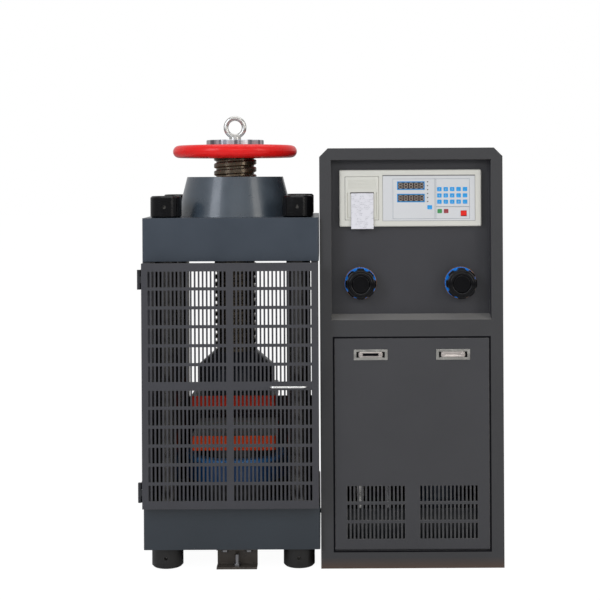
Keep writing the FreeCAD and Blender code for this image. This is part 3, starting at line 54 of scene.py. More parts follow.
bpy.ops.object.select_all(action="DESELECT")
bpy.ops.object.camera_add(location=CAMERA_PLACE,
                          rotation=(math.radians(90), math.radians(CAMERA_ROLL), 0))
camera = bpy.context.object
camera.data.lens = CAMERA_LENS
camera.data.shift_x, camera.data.shift_y = CAMERA_SHIFT
bpy.context.scene.camera = camera
bpy.context.scene.view_settings.view_transform = "Standard"


# Studio.
# A white floor and a white surround, with a broad soft lamp high at each side, a weaker one
# ahead and one above, as for a catalogue picture on white.
FLOOR_SIZE = 60.0
FLOOR_WHITE = (0.88, 0.88, 0.88, 1)
FLOOR_GLOW = 1.10
FLOOR_GLOW_SHARE = 0.88
SURROUND_LIGHT = 0.30
GLOSS_SHARE = 0.45
# Each lamp's place, size, power and tint
LAMPS = {
    "lamp_left": ((-2.4, -2.6, 2.3), (1.2, 2.4), 44, (0.86, 0.91, 1.0)),
    "lamp_right": ((2.6, -2.4, 2.0), (1.0, 2.4), 25, (1.0, 0.97, 0.92)),
    "lamp_ahead": ((0.3, -3.8, 2.1), (2.2, 0.8), 14, (1, 1, 1)),
    "lamp_above": ((0.0, 0.2, 3.2), (2.4, 2.0), 22, (1, 1, 1)),
}
LAMP_AIM = (0, 0, 0.6)


def math_node(tree, operation, *values):
    # The result of a maths node; each value is a number or another node's output
    node = tree.nodes.new("ShaderNodeMath")
    node.operation = operation
    for slot, value in enumerate(values):
        if isinstance(value, (int, float)):
            node.inputs[slot].default_value = value
        else:
            tree.links.new(value, node.inputs[slot])
    return node.outputs[0]


for name, (place, size, power, tint) in LAMPS.items():
    bpy.ops.object.light_add(type="AREA", location=place)
    lamp = bpy.context.object
    lamp.name = name
    lamp.data.shape = "RECTANGLE"
    lamp.data.size, lamp.data.size_y = size
    lamp.data.energy = power
    lamp.data.color = tint
    aim = Vector(LAMP_AIM) - Vector(place)
    lamp.rotation_euler = aim.to_track_quat("-Z", "Y").to_euler()

bpy.ops.mesh.primitive_plane_add(size=FLOOR_SIZE, location=(0, 0, 0))
floor = bpy.context.object
floor.name = "floor"
floor_paint = bpy.data.materials.new("studio_floor")
floor_paint.use_nodes = True
floor_tree = floor_paint.node_tree
matt = floor_tree.nodes["Principled BSDF"]
matt.inputs["Base Color"].default_value = FLOOR_WHITE
matt.inputs["Roughness"].default_value = 0.9
glow = floor_tree.nodes.new("ShaderNodeEmission")
glow.inputs["Strength"].default_value = FLOOR_GLOW
blend = floor_tree.nodes.new("ShaderNodeMixShader")
ray = floor_tree.nodes.new("ShaderNodeLightPath")
share = math_node(floor_tree, "MULTIPLY", ray.outputs["Is Camera Ray"], FLOOR_GLOW_SHARE)
floor_tree.links.new(share, blend.inputs[0])
floor_tree.links.new(matt.outputs[0], blend.inputs[1])
floor_tree.links.new(glow.outputs[0], blend.inputs[2])
floor_tree.links.new(blend.outputs[0], floor_tree.nodes["Material Output"].inputs[0])
floor.data.materials.append(floor_paint)

world = bpy.data.worlds.new("surround")
bpy.context.scene.world = world
world.use_nodes = True
sky = world.node_tree
dim = sky.nodes["Background"]
dim.inputs["Strength"].default_value = SURROUND_LIGHT
bright = sky.nodes.new("ShaderNodeBackground")
dim.inputs["Color"].default_value = bright.inputs["Color"].default_value = (1, 1, 1, 1)
seen = sky.nodes.new("ShaderNodeLightPath").outputs
through = math_node(sky, "MAXIMUM", seen["Is Camera Ray"], seen["Is Transmission Ray"])
mirrored = math_node(sky, "MULTIPLY", seen["Is Glossy Ray"], GLOSS_SHARE)
pick = sky.nodes.new("ShaderNodeMixShader")
sky.links.new(math_node(sky, "MAXIMUM", through, mirrored), pick.inputs[0])
sky.links.new(dim.outputs[0], pick.inputs[1])
sky.links.new(bright.outputs[0], pick.inputs[2])
sky.links.new(pick.outputs[0], sky.nodes["World Output"].inputs[0])


# Painted castings: base beam, crosshead and the cone housing of the screw.
# Cast and milled steel, filled and sprayed a semi-gloss blue-grey. The paint has a slight
# orange peel, is a little uneven in gloss, and is rubbed lighter along its edges.
BEAM_BLUE = (0.042, 0.056, 0.076)
BASE_SHADED_BLUE = (0.029, 0.038, 0.048)
BEAM_RUBBED = (0.16, 0.17, 0.17)
HOUSING_SHEEN_BLUE = (0.060, 0.080, 0.102)


def effect(name, inputs, outputs):
    # An empty shader node group with named value inputs and outputs
    group = bpy.data.node_groups.new(name, "ShaderNodeTree")
    for label, value in inputs:
        socket = group.interface.new_socket(label, in_out="INPUT", socket_type="NodeSocketFloat")
        socket.default_value = value
    for label, kind in outputs:
        group.interface.new_socket(label, in_out="OUTPUT", socket_type=kind)
    return group, group.nodes.new("NodeGroupInput"), group.nodes.new("NodeGroupOutput")


def noise_node(tree, place, scale, detail, rough=0.5):
    # Noise in object coordinates, taken from a texture coordinate node
    node = tree.nodes.new("ShaderNodeTexNoise")
    node.inputs["Scale"].default_value = scale
    node.inputs["Detail"].default_value = detail
    node.inputs["Roughness"].default_value = rough
    tree.links.new(place.outputs["Object"], node.inputs["Vector"])
    return node


def range_node(tree, source, low, high, to_low=0.0, to_high=1.0):
    # A value stretched from one range to another
    node = tree.nodes.new("ShaderNodeMapRange")
    values = {"From Min": low, "From Max": high, "To Min": to_low, "To Max": to_high}
    for label, value in values.items():
        node.inputs[label].default_value = value
    tree.links.new(source, node.inputs["Value"])
    return node.outputs[0]


def surface_noise():
    # Fine bumps of a chosen grain, and a broad mottling between 0 and 1
    group, start, end = effect("SurfaceNoise", [("Grain", 700.0), ("Patches", 6.0)],
                               [("Height", "NodeSocketFloat"), ("Mottle", "NodeSocketFloat")])
    place = group.nodes.new("ShaderNodeTexCoord")
    fine = noise_node(group, place, 700, 3)
    broad = noise_node(group, place, 6, 5, 0.62)
    group.links.new(start.outputs["Grain"], fine.inputs["Scale"])
    group.links.new(start.outputs["Patches"], broad.inputs["Scale"])
    group.links.new(fine.outputs["Fac"], end.inputs["Height"])
    group.links.new(broad.outputs["Fac"], end.inputs["Mottle"])
    return group


def edge_rub():
    # A mask that is 1 along sharp edges, broken up by noise, and a normal that rounds them
    group, start, end = effect("EdgeRub", [("Width", 0.0015), ("Amount", 0.5)],
                               [("Mask", "NodeSocketFloat"), ("Normal", "NodeSocketVector")])
    round_off = group.nodes.new("ShaderNodeBevel")
    round_off.samples = 4
    flat = group.nodes.new("ShaderNodeNewGeometry")
    dot = group.nodes.new("ShaderNodeVectorMath")
    dot.operation = "DOT_PRODUCT"
    chips = noise_node(group, group.nodes.new("ShaderNodeTexCoord"), 60, 6)
    reach = range_node(group, dot.outputs["Value"], 0.985, 0.80)
    worn = range_node(group, chips.outputs["Fac"], 0.40, 0.60, 0.25, 1.0)
    broken = math_node(group, "MULTIPLY", reach, worn)
    mask = math_node(group, "MULTIPLY", broken, start.outputs["Amount"])
    group.links.new(start.outputs["Width"], round_off.inputs["Radius"])
    group.links.new(round_off.outputs[0], dot.inputs[0])
    group.links.new(flat.outputs["Normal"], dot.inputs[1])
    group.links.new(mask, end.inputs["Mask"])
    group.links.new(round_off.outputs[0], end.inputs["Normal"])
    return group


NOISE = surface_noise()
RUB = edge_rub()


def mix_colour(tree, factor, low, high):
    # A colour mix; low and high are colours or sockets
    node = tree.nodes.new("ShaderNodeMix")
    node.data_type = "RGBA"
    tree.links.new(factor, node.inputs[0])
    for slot, value in ((6, low), (7, high)):
        if isinstance(value, tuple):
            node.inputs[slot].default_value = (*value, 1)
        else:
            tree.links.new(value, node.inputs[slot])
    return node.outputs[2]


def finish_material(name, colour, rubbed, rough, metal=0.0, coat=0.0, grain=700.0, bump=0.04,
                    patches=6.0, uneven=0.10, rub=0.5, edge=0.0012, specular=0.5):
    # A Principled finish with a fine grain, uneven gloss and shade, and rubbed edges
    material = bpy.data.materials.new(name)
    material.use_nodes = True
    tree = material.node_tree
    shader = tree.nodes["Principled BSDF"]
    shader.inputs["Metallic"].default_value = metal
    shader.inputs["Specular IOR Level"].default_value = specular
    shader.inputs["Coat Weight"].default_value = coat
    shader.inputs["Coat Roughness"].default_value = 0.12
    noise = tree.nodes.new("ShaderNodeGroup")
    noise.node_tree = NOISE
    noise.inputs["Grain"].default_value = grain
    noise.inputs["Patches"].default_value = patches
    worn = tree.nodes.new("ShaderNodeGroup")
    worn.node_tree = RUB
    worn.inputs["Width"].default_value = edge
    worn.inputs["Amount"].default_value = rub
    dark = tuple(c * (1 - uneven) for c in colour)
    light = tuple(min(1, c * (1 + uneven)) for c in colour)
    shade = mix_colour(tree, noise.outputs["Mottle"], dark, light)
    tree.links.new(mix_colour(tree, worn.outputs["Mask"], shade, rubbed),
                   shader.inputs["Base Color"])
    glossy, dull = max(0.03, rough * (1 - 1.6 * uneven)), min(1.0, rough * (1 + 1.6 * uneven))
    tree.links.new(range_node(tree, noise.outputs["Mottle"], 0.3, 0.7, glossy, dull),
                   shader.inputs["Roughness"])
    relief = tree.nodes.new("ShaderNodeBump")
    relief.inputs["Strength"].default_value = bump
    relief.inputs["Distance"].default_value = 0.0004
    tree.links.new(noise.outputs["Height"], relief.inputs["Height"])
    tree.links.new(worn.outputs["Normal"], relief.inputs["Normal"])
    tree.links.new(relief.outputs[0], shader.inputs["Normal"])
    return material


def dress(material, *names):
    # Gives CAD nodes their finish
    for name in names:
        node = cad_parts[name]
        node.data.materials.clear()
        node.data.materials.append(material)


beam_paint = finish_material(
    "beam_paint", BEAM_BLUE, BEAM_RUBBED, 0.34, coat=0.12, grain=420, bump=0.10, patches=9,
    uneven=0.14, rub=0.7)
dress(beam_paint, "crosshead")
# The base beam is given a darker copy of the same paint, as painted shade.
base_shaded_paint = finish_material(
    "base_shaded_paint", BASE_SHADED_BLUE, BEAM_RUBBED, 0.40, coat=0.08, grain=420, bump=0.10, patches=9,
    uneven=0.14, rub=0.5)
dress(base_shaded_paint, "base_beam")
# The cone housing is given a lighter copy of the same paint, as a painted reflection.
housing_sheen_paint = finish_material(
    "housing_sheen_paint", HOUSING_SHEEN_BLUE, BEAM_RUBBED, 0.30, coat=0.35, grain=300, bump=0.16, patches=14,
    uneven=0.2, rub=0.6)
dress(housing_sheen_paint, "screw_housing")


# Columns and their round nuts and feet.
# Four ground steel columns, oiled, pass through both beams. A round black-enamelled nut holds
# each one above and another below, with holes for a tommy bar; the lower ones are the feet.
COLUMN_STEEL = (0.13, 0.125, 0.12)
column_steel = finish_material(
    "column_steel", COLUMN_STEEL, (0.35, 0.35, 0.35), 0.30, metal=1.0, grain=500, bump=0.03,
    patches=3, uneven=0.22)
dress(column_steel, "columns")
nut_black = finish_material(
    "nut_black", (0.004, 0.004, 0.005), (0.16, 0.16, 0.15), 0.16, grain=240, bump=0.35, patches=30,
    uneven=0.4, rub=0.6, specular=0.20)
dress(nut_black, "column_nuts")
foot_black = finish_material(
    "foot_black", (0.012, 0.011, 0.010), (0.07, 0.06, 0.05), 0.45, grain=240, bump=0.10, patches=16,
    uneven=0.3, rub=0.5)
dress(foot_black, "column_feet")


# Hydraulic cylinder and its seal.
# A turned steel cylinder let into the base beam. Its upper part is sprayed a bright blue, with a
# lighter blue band round the top of its rim as a painted highlight, and near its foot it is
# coloured near black. A rubber ring seals the ram under the rim.
CYLINDER_BLUE = (0.010, 0.075, 0.23)
CYLINDER_EDGE_HIGHLIGHT_BLUE = (0.05, 0.24, 0.60)
RIM_HIGHLIGHT_DEPTH = 0.010
DARK_FOOT_TOP = 0.206
PAINT_BLUR = 0.001


def second_finish(material, mask, colour, metal=None, rough=None):
    # Lays another colour, and if given another metal and roughness, over part of a finish
    tree = material.node_tree
    shader = tree.nodes["Principled BSDF"]
    under = shader.inputs["Base Color"].links[0].from_socket
    tree.links.new(mix_colour(tree, mask, under, colour), shader.inputs["Base Color"])
    if metal is not None:
        was = shader.inputs["Metallic"].default_value
        tree.links.new(range_node(tree, mask, 0, 1, was, metal), shader.inputs["Metallic"])
    if rough is not None:
        gloss = tree.nodes.new("ShaderNodeMix")
        tree.links.new(mask, gloss.inputs[0])
        tree.links.new(shader.inputs["Roughness"].links[0].from_socket, gloss.inputs[2])
        gloss.inputs[3].default_value = rough
        tree.links.new(gloss.outputs[0], shader.inputs["Roughness"])


def axis_value(material, coordinate, axis):
    # One axis of the object coordinates ("Object") or of the surface normal ("Normal")
    tree = material.node_tree
    kind = "ShaderNodeNewGeometry" if coordinate == "Normal" else "ShaderNodeTexCoord"
    split = tree.nodes.new("ShaderNodeSeparateXYZ")
    tree.links.new(tree.nodes.new(kind).outputs[coordinate], split.inputs[0])
    return split.outputs[axis]


def band_mask(material, axis, low, high):
    # 0 at and below the first place on an axis, 1 at and above the second, or the reverse
    return range_node(material.node_tree, axis_value(material, "Object", axis), low, high)


cylinder_blue = finish_material(
    "cylinder_blue", CYLINDER_BLUE, CYLINDER_EDGE_HIGHLIGHT_BLUE, 0.3, coat=0.4, rub=0.9, edge=0.003)
# The lighter blue band round the top of the rim is a painted highlight, and the same blue lightens
# its edges.
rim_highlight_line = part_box("ram_cylinder")[1][2] - RIM_HIGHLIGHT_DEPTH
rim = band_mask(cylinder_blue, "Z", rim_highlight_line - PAINT_BLUR, rim_highlight_line + PAINT_BLUR)
second_finish(cylinder_blue, rim, CYLINDER_EDGE_HIGHLIGHT_BLUE)
# Below a line near its foot the cylinder is coloured near black and matt.
dark_foot = band_mask(cylinder_blue, "Z", DARK_FOOT_TOP + PAINT_BLUR, DARK_FOOT_TOP - PAINT_BLUR)
second_finish(cylinder_blue, dark_foot, (0.006, 0.006, 0.007), rough=0.6)
dress(cylinder_blue, "ram_cylinder")
seal_rubber = finish_material(
    "seal_rubber", (0.015, 0.015, 0.015), (0.03, 0.03, 0.03), 0.6, grain=900)
dress(seal_rubber, "ram_seal")


# Ram and the two platens.
# The ram is ground steel, coloured dark as painted shade under the lower platen. The platens are
# thick steel blocks with ground faces, and their sides are painted red, the upper one's darker as
# painted shade. The lower one has a centring ring scribed in it.
PLATEN_LIT_AND_SHADED_REDS = {"lower_platen": (0.95, 0.072, 0.004), "upper_platen": (0.62, 0.026, 0.004)}
ram_steel = finish_material(
    "ram_steel", (0.06, 0.06, 0.06), (0.25, 0.25, 0.25), 0.3, metal=1.0, grain=500)
dress(ram_steel, "ram")


def level_mask(material):
    # 1 on faces that look up or down, 0 on the sides
    size = math_node(material.node_tree, "ABSOLUTE", axis_value(material, "Normal", "Z"))
    return range_node(material.node_tree, size, 0.85, 0.93)


# Both platens have the same red paint; the upper one's red is darker as painted shade.
for name, red in PLATEN_LIT_AND_SHADED_REDS.items():
    platen_paint = finish_material(
        name + "_paint", red, (0.35, 0.16, 0.10), 0.45, grain=380, bump=0.10, patches=12,
        uneven=0.16, rub=0.4, specular=0.2)
    # Faces that look up or down are ground steel, coloured dark as painted shade.
    second_finish(platen_paint, level_mask(platen_paint), (0.060, 0.058, 0.052), metal=0.8,
                  rough=0.5)
    dress(platen_paint, name)


# Swivel seat.
# A ball block on the upper platen sits in a dark oiled steel cup that hangs from the screw,
# so that the platen settles flat on an uneven sample.
seat_steel = finish_material(
    "seat_steel", (0.030, 0.034, 0.044), (0.16, 0.16, 0.16), 0.30, metal=0.5, grain=600, patches=10,
    uneven=0.25, rub=0.7, edge=0.002)
dress(seat_steel, "swivel_cup", "swivel_ball")


# Lead screw and its nut.
# A turned steel screw with a coarse square thread, dark with grease, runs in a cast bronze nut
# inside the cone housing. Its plain lower end turns in the swivel cup.
SCREW_LOW, SCREW_HIGH = 0.5402, 1.0575
THREAD_PITCH, THREAD_TURNS = 0.020, 28
CREST_R, ROOT_R = 0.0575, 0.0515
THREAD_FLANKS = [(ROOT_R, 0.0), (ROOT_R + 0.004, 0.0012), (CREST_R, 0.0030), (CREST_R, 0.0118),
                 (ROOT_R + 0.004, 0.0136), (ROOT_R, 0.0148), (ROOT_R, THREAD_PITCH)]
screw_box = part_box("lead_screw")
AXIS_X = (screw_box[0][0] + screw_box[1][0]) / 2
AXIS_Y = (screw_box[0][1] + screw_box[1][1]) / 2


def work_on(piece=None):
    # Nothing stays selected but the piece that is worked on
    if bpy.context.object and bpy.context.object.mode == "EDIT":
        bpy.ops.object.mode_set(mode="OBJECT")
    bpy.ops.object.select_all(action="DESELECT")
    if piece:
        piece.select_set(True)
        bpy.context.view_layer.objects.active = piece


def drawn_line(centre, points):
    # A line of edges through the points, drawn out from one corner, on an object at the centre
    work_on()
    bpy.ops.mesh.primitive_plane_add(size=0.01, location=centre)
    bpy.ops.object.mode_set(mode="EDIT")
    bpy.ops.mesh.select_mode(type="VERT")
    bpy.ops.mesh.select_all(action="SELECT")
    bpy.ops.mesh.merge(type="CENTER")
    bpy.ops.transform.translate(value=Vector(points[0]) - Vector(centre))
    for start, end in zip(points, points[1:]):
        step = {"value": Vector(end) - Vector(start)}
        bpy.ops.mesh.extrude_vertices_move(TRANSFORM_OT_translate=step)
    bpy.ops.object.mode_set(mode="OBJECT")
    return bpy.context.object


def finish_piece(piece, name, material, body, smooth=35):
    # Applies the modifiers, puts the piece's place into its mesh, and gives it finish and body
    work_on(piece)
    for modifier in list(piece.modifiers):
        bpy.ops.object.modifier_apply(modifier=modifier.name)
    bpy.ops.object.transform_apply(location=True, rotation=True, scale=True)
    bpy.ops.object.shade_smooth_by_angle(angle=math.radians(smooth))
    piece.name = piece.data.name = name
    piece.data.materials.clear()
    piece.data.materials.append(material)
    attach(piece, body)
    return piece


thread_steel = finish_material(
    "thread_steel", (0.115, 0.092, 0.066), (0.50, 0.48, 0.43), 0.26, metal=0.85, grain=340,
    bump=0.25, patches=55, uneven=0.45, rub=0.8, edge=0.0016)
screw = drawn_line((AXIS_X, AXIS_Y, 0),
                   [(AXIS_X + r, AXIS_Y, SCREW_LOW - THREAD_PITCH + z) for r, z in THREAD_FLANKS])
turns = screw.modifiers.new("turns", "SCREW")
turns.screw_offset = THREAD_PITCH
turns.iterations = THREAD_TURNS
turns.steps = turns.render_steps = 48
turns.use_merge_vertices = True
bpy.ops.object.modifier_apply(modifier="turns")
bpy.ops.object.mode_set(mode="EDIT")
for height, above in ((SCREW_LOW, False), (SCREW_HIGH, True)):
    bpy.ops.mesh.select_all(action="SELECT")
    bpy.ops.mesh.bisect(plane_co=(AXIS_X, AXIS_Y, height), plane_no=(0, 0, 1), use_fill=True,
                        clear_inner=not above, clear_outer=above)
bpy.ops.mesh.select_all(action="SELECT")
bpy.ops.mesh.normals_make_consistent(inside=False)
finish_piece(screw, "threaded_screw", thread_steel, "screw", 25)
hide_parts("lead_screw")
nut_bronze = finish_material(
    "nut_bronze", (0.33, 0.20, 0.08), (0.55, 0.38, 0.18), 0.38, metal=1.0, rub=0.6)
dress(nut_bronze, "screw_nut")


# Handwheel.
# A cast iron wheel with a fat round rim, five spokes and a deep hub, dipped in glossy red
# enamel. The enamel runs a little and has small chips at its edges.
wheel_red = finish_material(
    "wheel_red", (0.96, 0.014, 0.014), (0.85, 0.14, 0.10), 0.28, coat=0.06, grain=160, bump=0.10,
    patches=18, uneven=0.12, rub=0.25, specular=0.25)
dress(wheel_red, "handwheel")


# Clamp disc and lifting eye.
# A polished chrome disc clamps the wheel to the screw, and a forged chrome eye bolt is screwed
# in on top for a crane's hook. Both show fine turning marks and dull spots.
polished_chrome = finish_material(
    "polished_chrome", (0.56, 0.55, 0.53), (0.62, 0.62, 0.62), 0.24, metal=1.0, grain=900,
    bump=0.03, patches=12, uneven=0.12, rub=0.4)
dress(polished_chrome, "lifting_eye")
disc_chrome = finish_material(
    "disc_chrome", (0.50, 0.51, 0.54), (0.50, 0.50, 0.50), 0.34, metal=1.0, grain=900, bump=0.03,
    patches=12, uneven=0.12, rub=0.2)


def reflection_streak_mask(material):
    # Painted reflections as upright streaks round a turned edge: noise that does not change with
    # height
    tree = material.node_tree
    level = tree.nodes.new("ShaderNodeVectorMath")
    level.operation = "MULTIPLY"
    level.inputs[1].default_value = (1, 1, 0)
    tree.links.new(tree.nodes.new("ShaderNodeTexCoord").outputs["Object"], level.inputs[0])
    streaks = tree.nodes.new("ShaderNodeTexNoise")
    streaks.inputs["Scale"].default_value = 60
    tree.links.new(level.outputs[0], streaks.inputs["Vector"])
    edge_only = math_node(tree, "SUBTRACT", 1, level_mask(material))
    return math_node(tree, "MULTIPLY", edge_only,
                     range_node(tree, streaks.outputs["Fac"], 0.46, 0.58))


# Dark upright streaks round the disc's edge are painted reflections.
second_finish(disc_chrome, reflection_streak_mask(disc_chrome), (0.16, 0.16, 0.18))
dress(disc_chrome, "clamp_disc")


# Guard door with its hinges, handle and catch.
# Folded 2 mm steel sheet, punched with rows of upright slots and powder coated dark grey. It
# hangs on two black knuckle hinges; a bent chrome rod is its handle, a magnet its catch.
SHEET_GREY = (0.060, 0.060, 0.068)
SHEET_EDGE_WEAR_AND_SHEEN = (0.20, 0.19, 0.18)
# The sheet's edges are coloured lighter, partly as wear and partly as a painted highlight where the
# folded edges catch the light.
powder_coat = finish_material(
    "powder_coat", SHEET_GREY, SHEET_EDGE_WEAR_AND_SHEEN, 0.50, grain=1500, bump=0.22, patches=5, uneven=0.12,
    rub=0.75, edge=0.0016, specular=0.35)
dress(powder_coat, "guard_door", "side_guards", "rear_guard")
hinge_black = finish_material(
    "hinge_black", (0.014, 0.015, 0.019), (0.16, 0.16, 0.17), 0.34, grain=500, bump=0.1, patches=30,
    uneven=0.3, rub=0.6)
dress(hinge_black, "door_hinge_leaves", "frame_hinge_leaves", "door_hinge_pins")
handle_chrome = finish_material(
    "handle_chrome", (0.88, 0.88, 0.86), (0.8, 0.8, 0.8), 0.16, metal=1.0, grain=900, patches=30,
    uneven=0.2)
dress(handle_chrome, "door_handle")
moulded_black = finish_material(
    "moulded_black", (0.018, 0.018, 0.018), (0.06, 0.06, 0.06), 0.48, grain=1300, bump=0.18,
    patches=10)
dress(moulded_black, "door_catch")


# Screws of the hinge leaves.
# Pan-head screws, zinc plated, hold the two leaves to the frame, two through each.
HEAD_R, HEAD_H = 0.0032, 0.0018
SCREW_MARGINS = (0.012, 0.038)
SCREW_INSET = (0.0030, 0.009)
TO_LEFT = (0, math.radians(-90), 0)
zinc = finish_material(
    "zinc_plate", (0.30, 0.30, 0.31), (0.5, 0.5, 0.5), 0.34, metal=1.0, grain=700, patches=60,
    uneven=0.25)


def select_facing(piece, way, least=0.99):
    # In edit mode, selects the faces that look a given way
    bpy.ops.mesh.select_mode(type="FACE")
    bpy.ops.mesh.select_all(action="DESELECT")
    shape = bmesh.from_edit_mesh(piece.data)
    for face in shape.faces:
        if face.normal.dot(Vector(way)) > least:
            face.select_set(True)
    bmesh.update_edit_mesh(piece.data)


def joined(pieces):
    # The pieces as one object
    work_on(pieces[0])
    for piece in pieces[1:]:
        piece.select_set(True)
    bpy.ops.object.join()
    return bpy.context.object


def pan_head(place, radius, height, turn):
    # A low domed head with a flat dished top, its axis turned from upright as turn says
    work_on()
    bpy.ops.mesh.primitive_cylinder_add(vertices=20, radius=radius, depth=height, location=place,
                                        rotation=turn)
    head = bpy.context.object
    bpy.ops.object.mode_set(mode="EDIT")
    select_facing(head, (0, 0, 1), 0.9)
    bpy.ops.mesh.bevel(offset=height * 0.45, segments=3, affect="EDGES")
    select_facing(head, (0, 0, 1))
    bpy.ops.mesh.inset(thickness=radius * 0.25, depth=-height * 0.12)
    bpy.ops.object.mode_set(mode="OBJECT")
    return head


leaf_low, leaf_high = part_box("frame_hinge_leaves")
screw_heights = [leaf_low[2] + margin for margin in SCREW_MARGINS]
screw_heights += [leaf_high[2] - margin for margin in reversed(SCREW_MARGINS)]
screw_x, screw_y = leaf_high[0] - SCREW_INSET[0], leaf_high[1] - SCREW_INSET[1]
heads = [pan_head((screw_x, screw_y, z), HEAD_R, HEAD_H, TO_LEFT) for z in screw_heights]
finish_piece(joined(heads), "hinge_screws", zinc, "frame")


# Lap of the rear guard.
# The rear guard's sheet is lapped up behind its top rail, so that no light shows between them.
# It is the same powder coated sheet.
LAP_FOOT, LAP_TOP = 0.3340, 0.3530
LAP_INSET = 0.003
LAP_DEPTHS = (0.0030, 0.0010)


def select_along(piece, axis):
    # In edit mode, selects the edges that run along an axis
    shape = bmesh.from_edit_mesh(piece.data)
    for edge in shape.edges:
        run = (edge.verts[1].co - edge.verts[0].co).normalized()
        edge.select_set(abs(run[axis]) > 0.99)
    bmesh.update_edit_mesh(piece.data)


def rounded_block(low, high, bevel, segments=3, along=None):
    # A block between two corners, with all its edges rounded or only those along one axis
    work_on()
    middle = [(a + b) / 2 for a, b in zip(low, high)]
    bpy.ops.mesh.primitive_cube_add(size=1, location=middle)
    block = bpy.context.object
    block.scale = [b - a for a, b in zip(low, high)]
    bpy.ops.object.transform_apply(location=False, rotation=False, scale=True)
    bpy.ops.object.mode_set(mode="EDIT")
    bpy.ops.mesh.select_mode(type="EDGE")
    bpy.ops.mesh.select_all(action="SELECT")
    if along is not None:
        select_along(block, along)
    bpy.ops.mesh.bevel(offset=bevel, segments=segments, affect="EDGES")
    bpy.ops.object.mode_set(mode="OBJECT")
    return block


rear_low, rear_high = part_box("rear_guard")
lap = rounded_block((rear_low[0] + LAP_INSET, rear_high[1] - LAP_DEPTHS[0], LAP_FOOT),
                    (rear_high[0] - LAP_INSET, rear_high[1] - LAP_DEPTHS[1], LAP_TOP), 0.0004, 1)
finish_piece(lap, "rear_guard_lap", powder_coat, "frame")


# Control cabinet: shell, recess behind the panel, back cover and cable gland.
# Folded and welded 2.5 mm steel sheet, powder coated dark grey. The lowest few centimetres are
# scuffed brown by shoes and brooms, and faces of the recess that look up, such as its sill, are
# painted lighter grey as painted light from above.
SCUFF_TOP, SCUFF_FOOT = 0.028, -0.004
SCUFF_BROWN = (0.115, 0.075, 0.055)
TOP_LIGHT_GREY = (0.235, 0.228, 0.220)
cabinet_coat = finish_material(
    "cabinet_coat", (0.055, 0.055, 0.058), (0.17, 0.155, 0.14), 0.50, grain=1500, bump=0.22,
    patches=3, uneven=0.14, rub=0.7, edge=0.002, specular=0.35)
second_finish(cabinet_coat, band_mask(cabinet_coat, "Z", SCUFF_TOP, SCUFF_FOOT), SCUFF_BROWN)
dress(cabinet_coat, "cabinet_shell", "cabinet_back")
recess_coat = finish_material(
    "recess_coat", (0.047, 0.047, 0.053), SHEET_EDGE_WEAR_AND_SHEEN, 0.46, grain=1500, bump=0.22, patches=4,
    uneven=0.2, rub=0.7, edge=0.002, specular=0.4)
# Faces that look up are coloured a lighter grey, as painted light from above.
looks_up = range_node(recess_coat.node_tree, axis_value(recess_coat, "Normal", "Z"), 0.2, 0.6)
second_finish(recess_coat, looks_up, TOP_LIGHT_GREY, rough=0.6)
dress(recess_coat, "recess_tray")
dress(moulded_black, "cable_gland")


# Service door, the painted shade of the gap round it, and its hinge rod.
# A folded sheet door with pressed vent slots, coated like the cabinet. A thin black frame round it
# is painted shade in the gap, and it swings down on a zinc plated rod through its rolled lower
# edge.
GAP_SHADE_REACH, GAP_SHADE_WIDTH, GAP_SHADE_PROUD = 0.0046, 0.0040, 0.0006
TO_FRONT = (math.radians(90), 0, 0)
door_coat = finish_material(
    "door_coat", (0.056, 0.056, 0.061), (0.24, 0.23, 0.22), 0.48, grain=1500, bump=0.22, patches=4,
    uneven=0.14, rub=0.9, edge=0.003, specular=0.4)
dress(door_coat, "service_door")


def flat_frame(low, high, front, width, proud):
    # A thin rectangular border, low and high as (x, z), standing proud of the plane y = front
    work_on()
    middle = ((low[0] + high[0]) / 2, front, (low[1] + high[1]) / 2)
    bpy.ops.mesh.primitive_plane_add(size=1, location=middle, rotation=TO_FRONT)
    border = bpy.context.object
    border.scale = (high[0] - low[0], high[1] - low[1], 1)
    bpy.ops.object.transform_apply(location=False, rotation=True, scale=True)
    bpy.ops.object.mode_set(mode="EDIT")
    bpy.ops.mesh.select_mode(type="FACE")
    bpy.ops.mesh.select_all(action="SELECT")
    bpy.ops.mesh.inset(thickness=width)
    bpy.ops.mesh.delete(type="FACE")
    bpy.ops.mesh.select_all(action="SELECT")
    bpy.ops.mesh.extrude_region_move(TRANSFORM_OT_translate={"value": (0, -proud, 0)})
    bpy.ops.mesh.select_all(action="SELECT")
    bpy.ops.mesh.normals_make_consistent(inside=False)
    bpy.ops.object.mode_set(mode="OBJECT")
    soften = border.modifiers.new("soften", "BEVEL")
    soften.width = min(width, proud) * 0.3
    soften.segments = 2
    return border


door_low, door_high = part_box("service_door")
painted_shade_black = finish_material(
    "painted_shade_black", (0.003, 0.003, 0.005), (0.02, 0.02, 0.02), 0.65, grain=1200, bump=0.1,
    specular=0.10)
# A thin black frame round the door is painted shade in the gap.
edging = flat_frame((door_low[0] - GAP_SHADE_REACH, door_low[2] - GAP_SHADE_REACH),
                    (door_high[0] + GAP_SHADE_REACH, door_high[2] + GAP_SHADE_REACH),
                    door_low[1] + 0.0002, GAP_SHADE_WIDTH, GAP_SHADE_PROUD)
finish_piece(edging, "door_gap_shade", painted_shade_black, "frame")
dress(zinc, "service_hinge_rod")


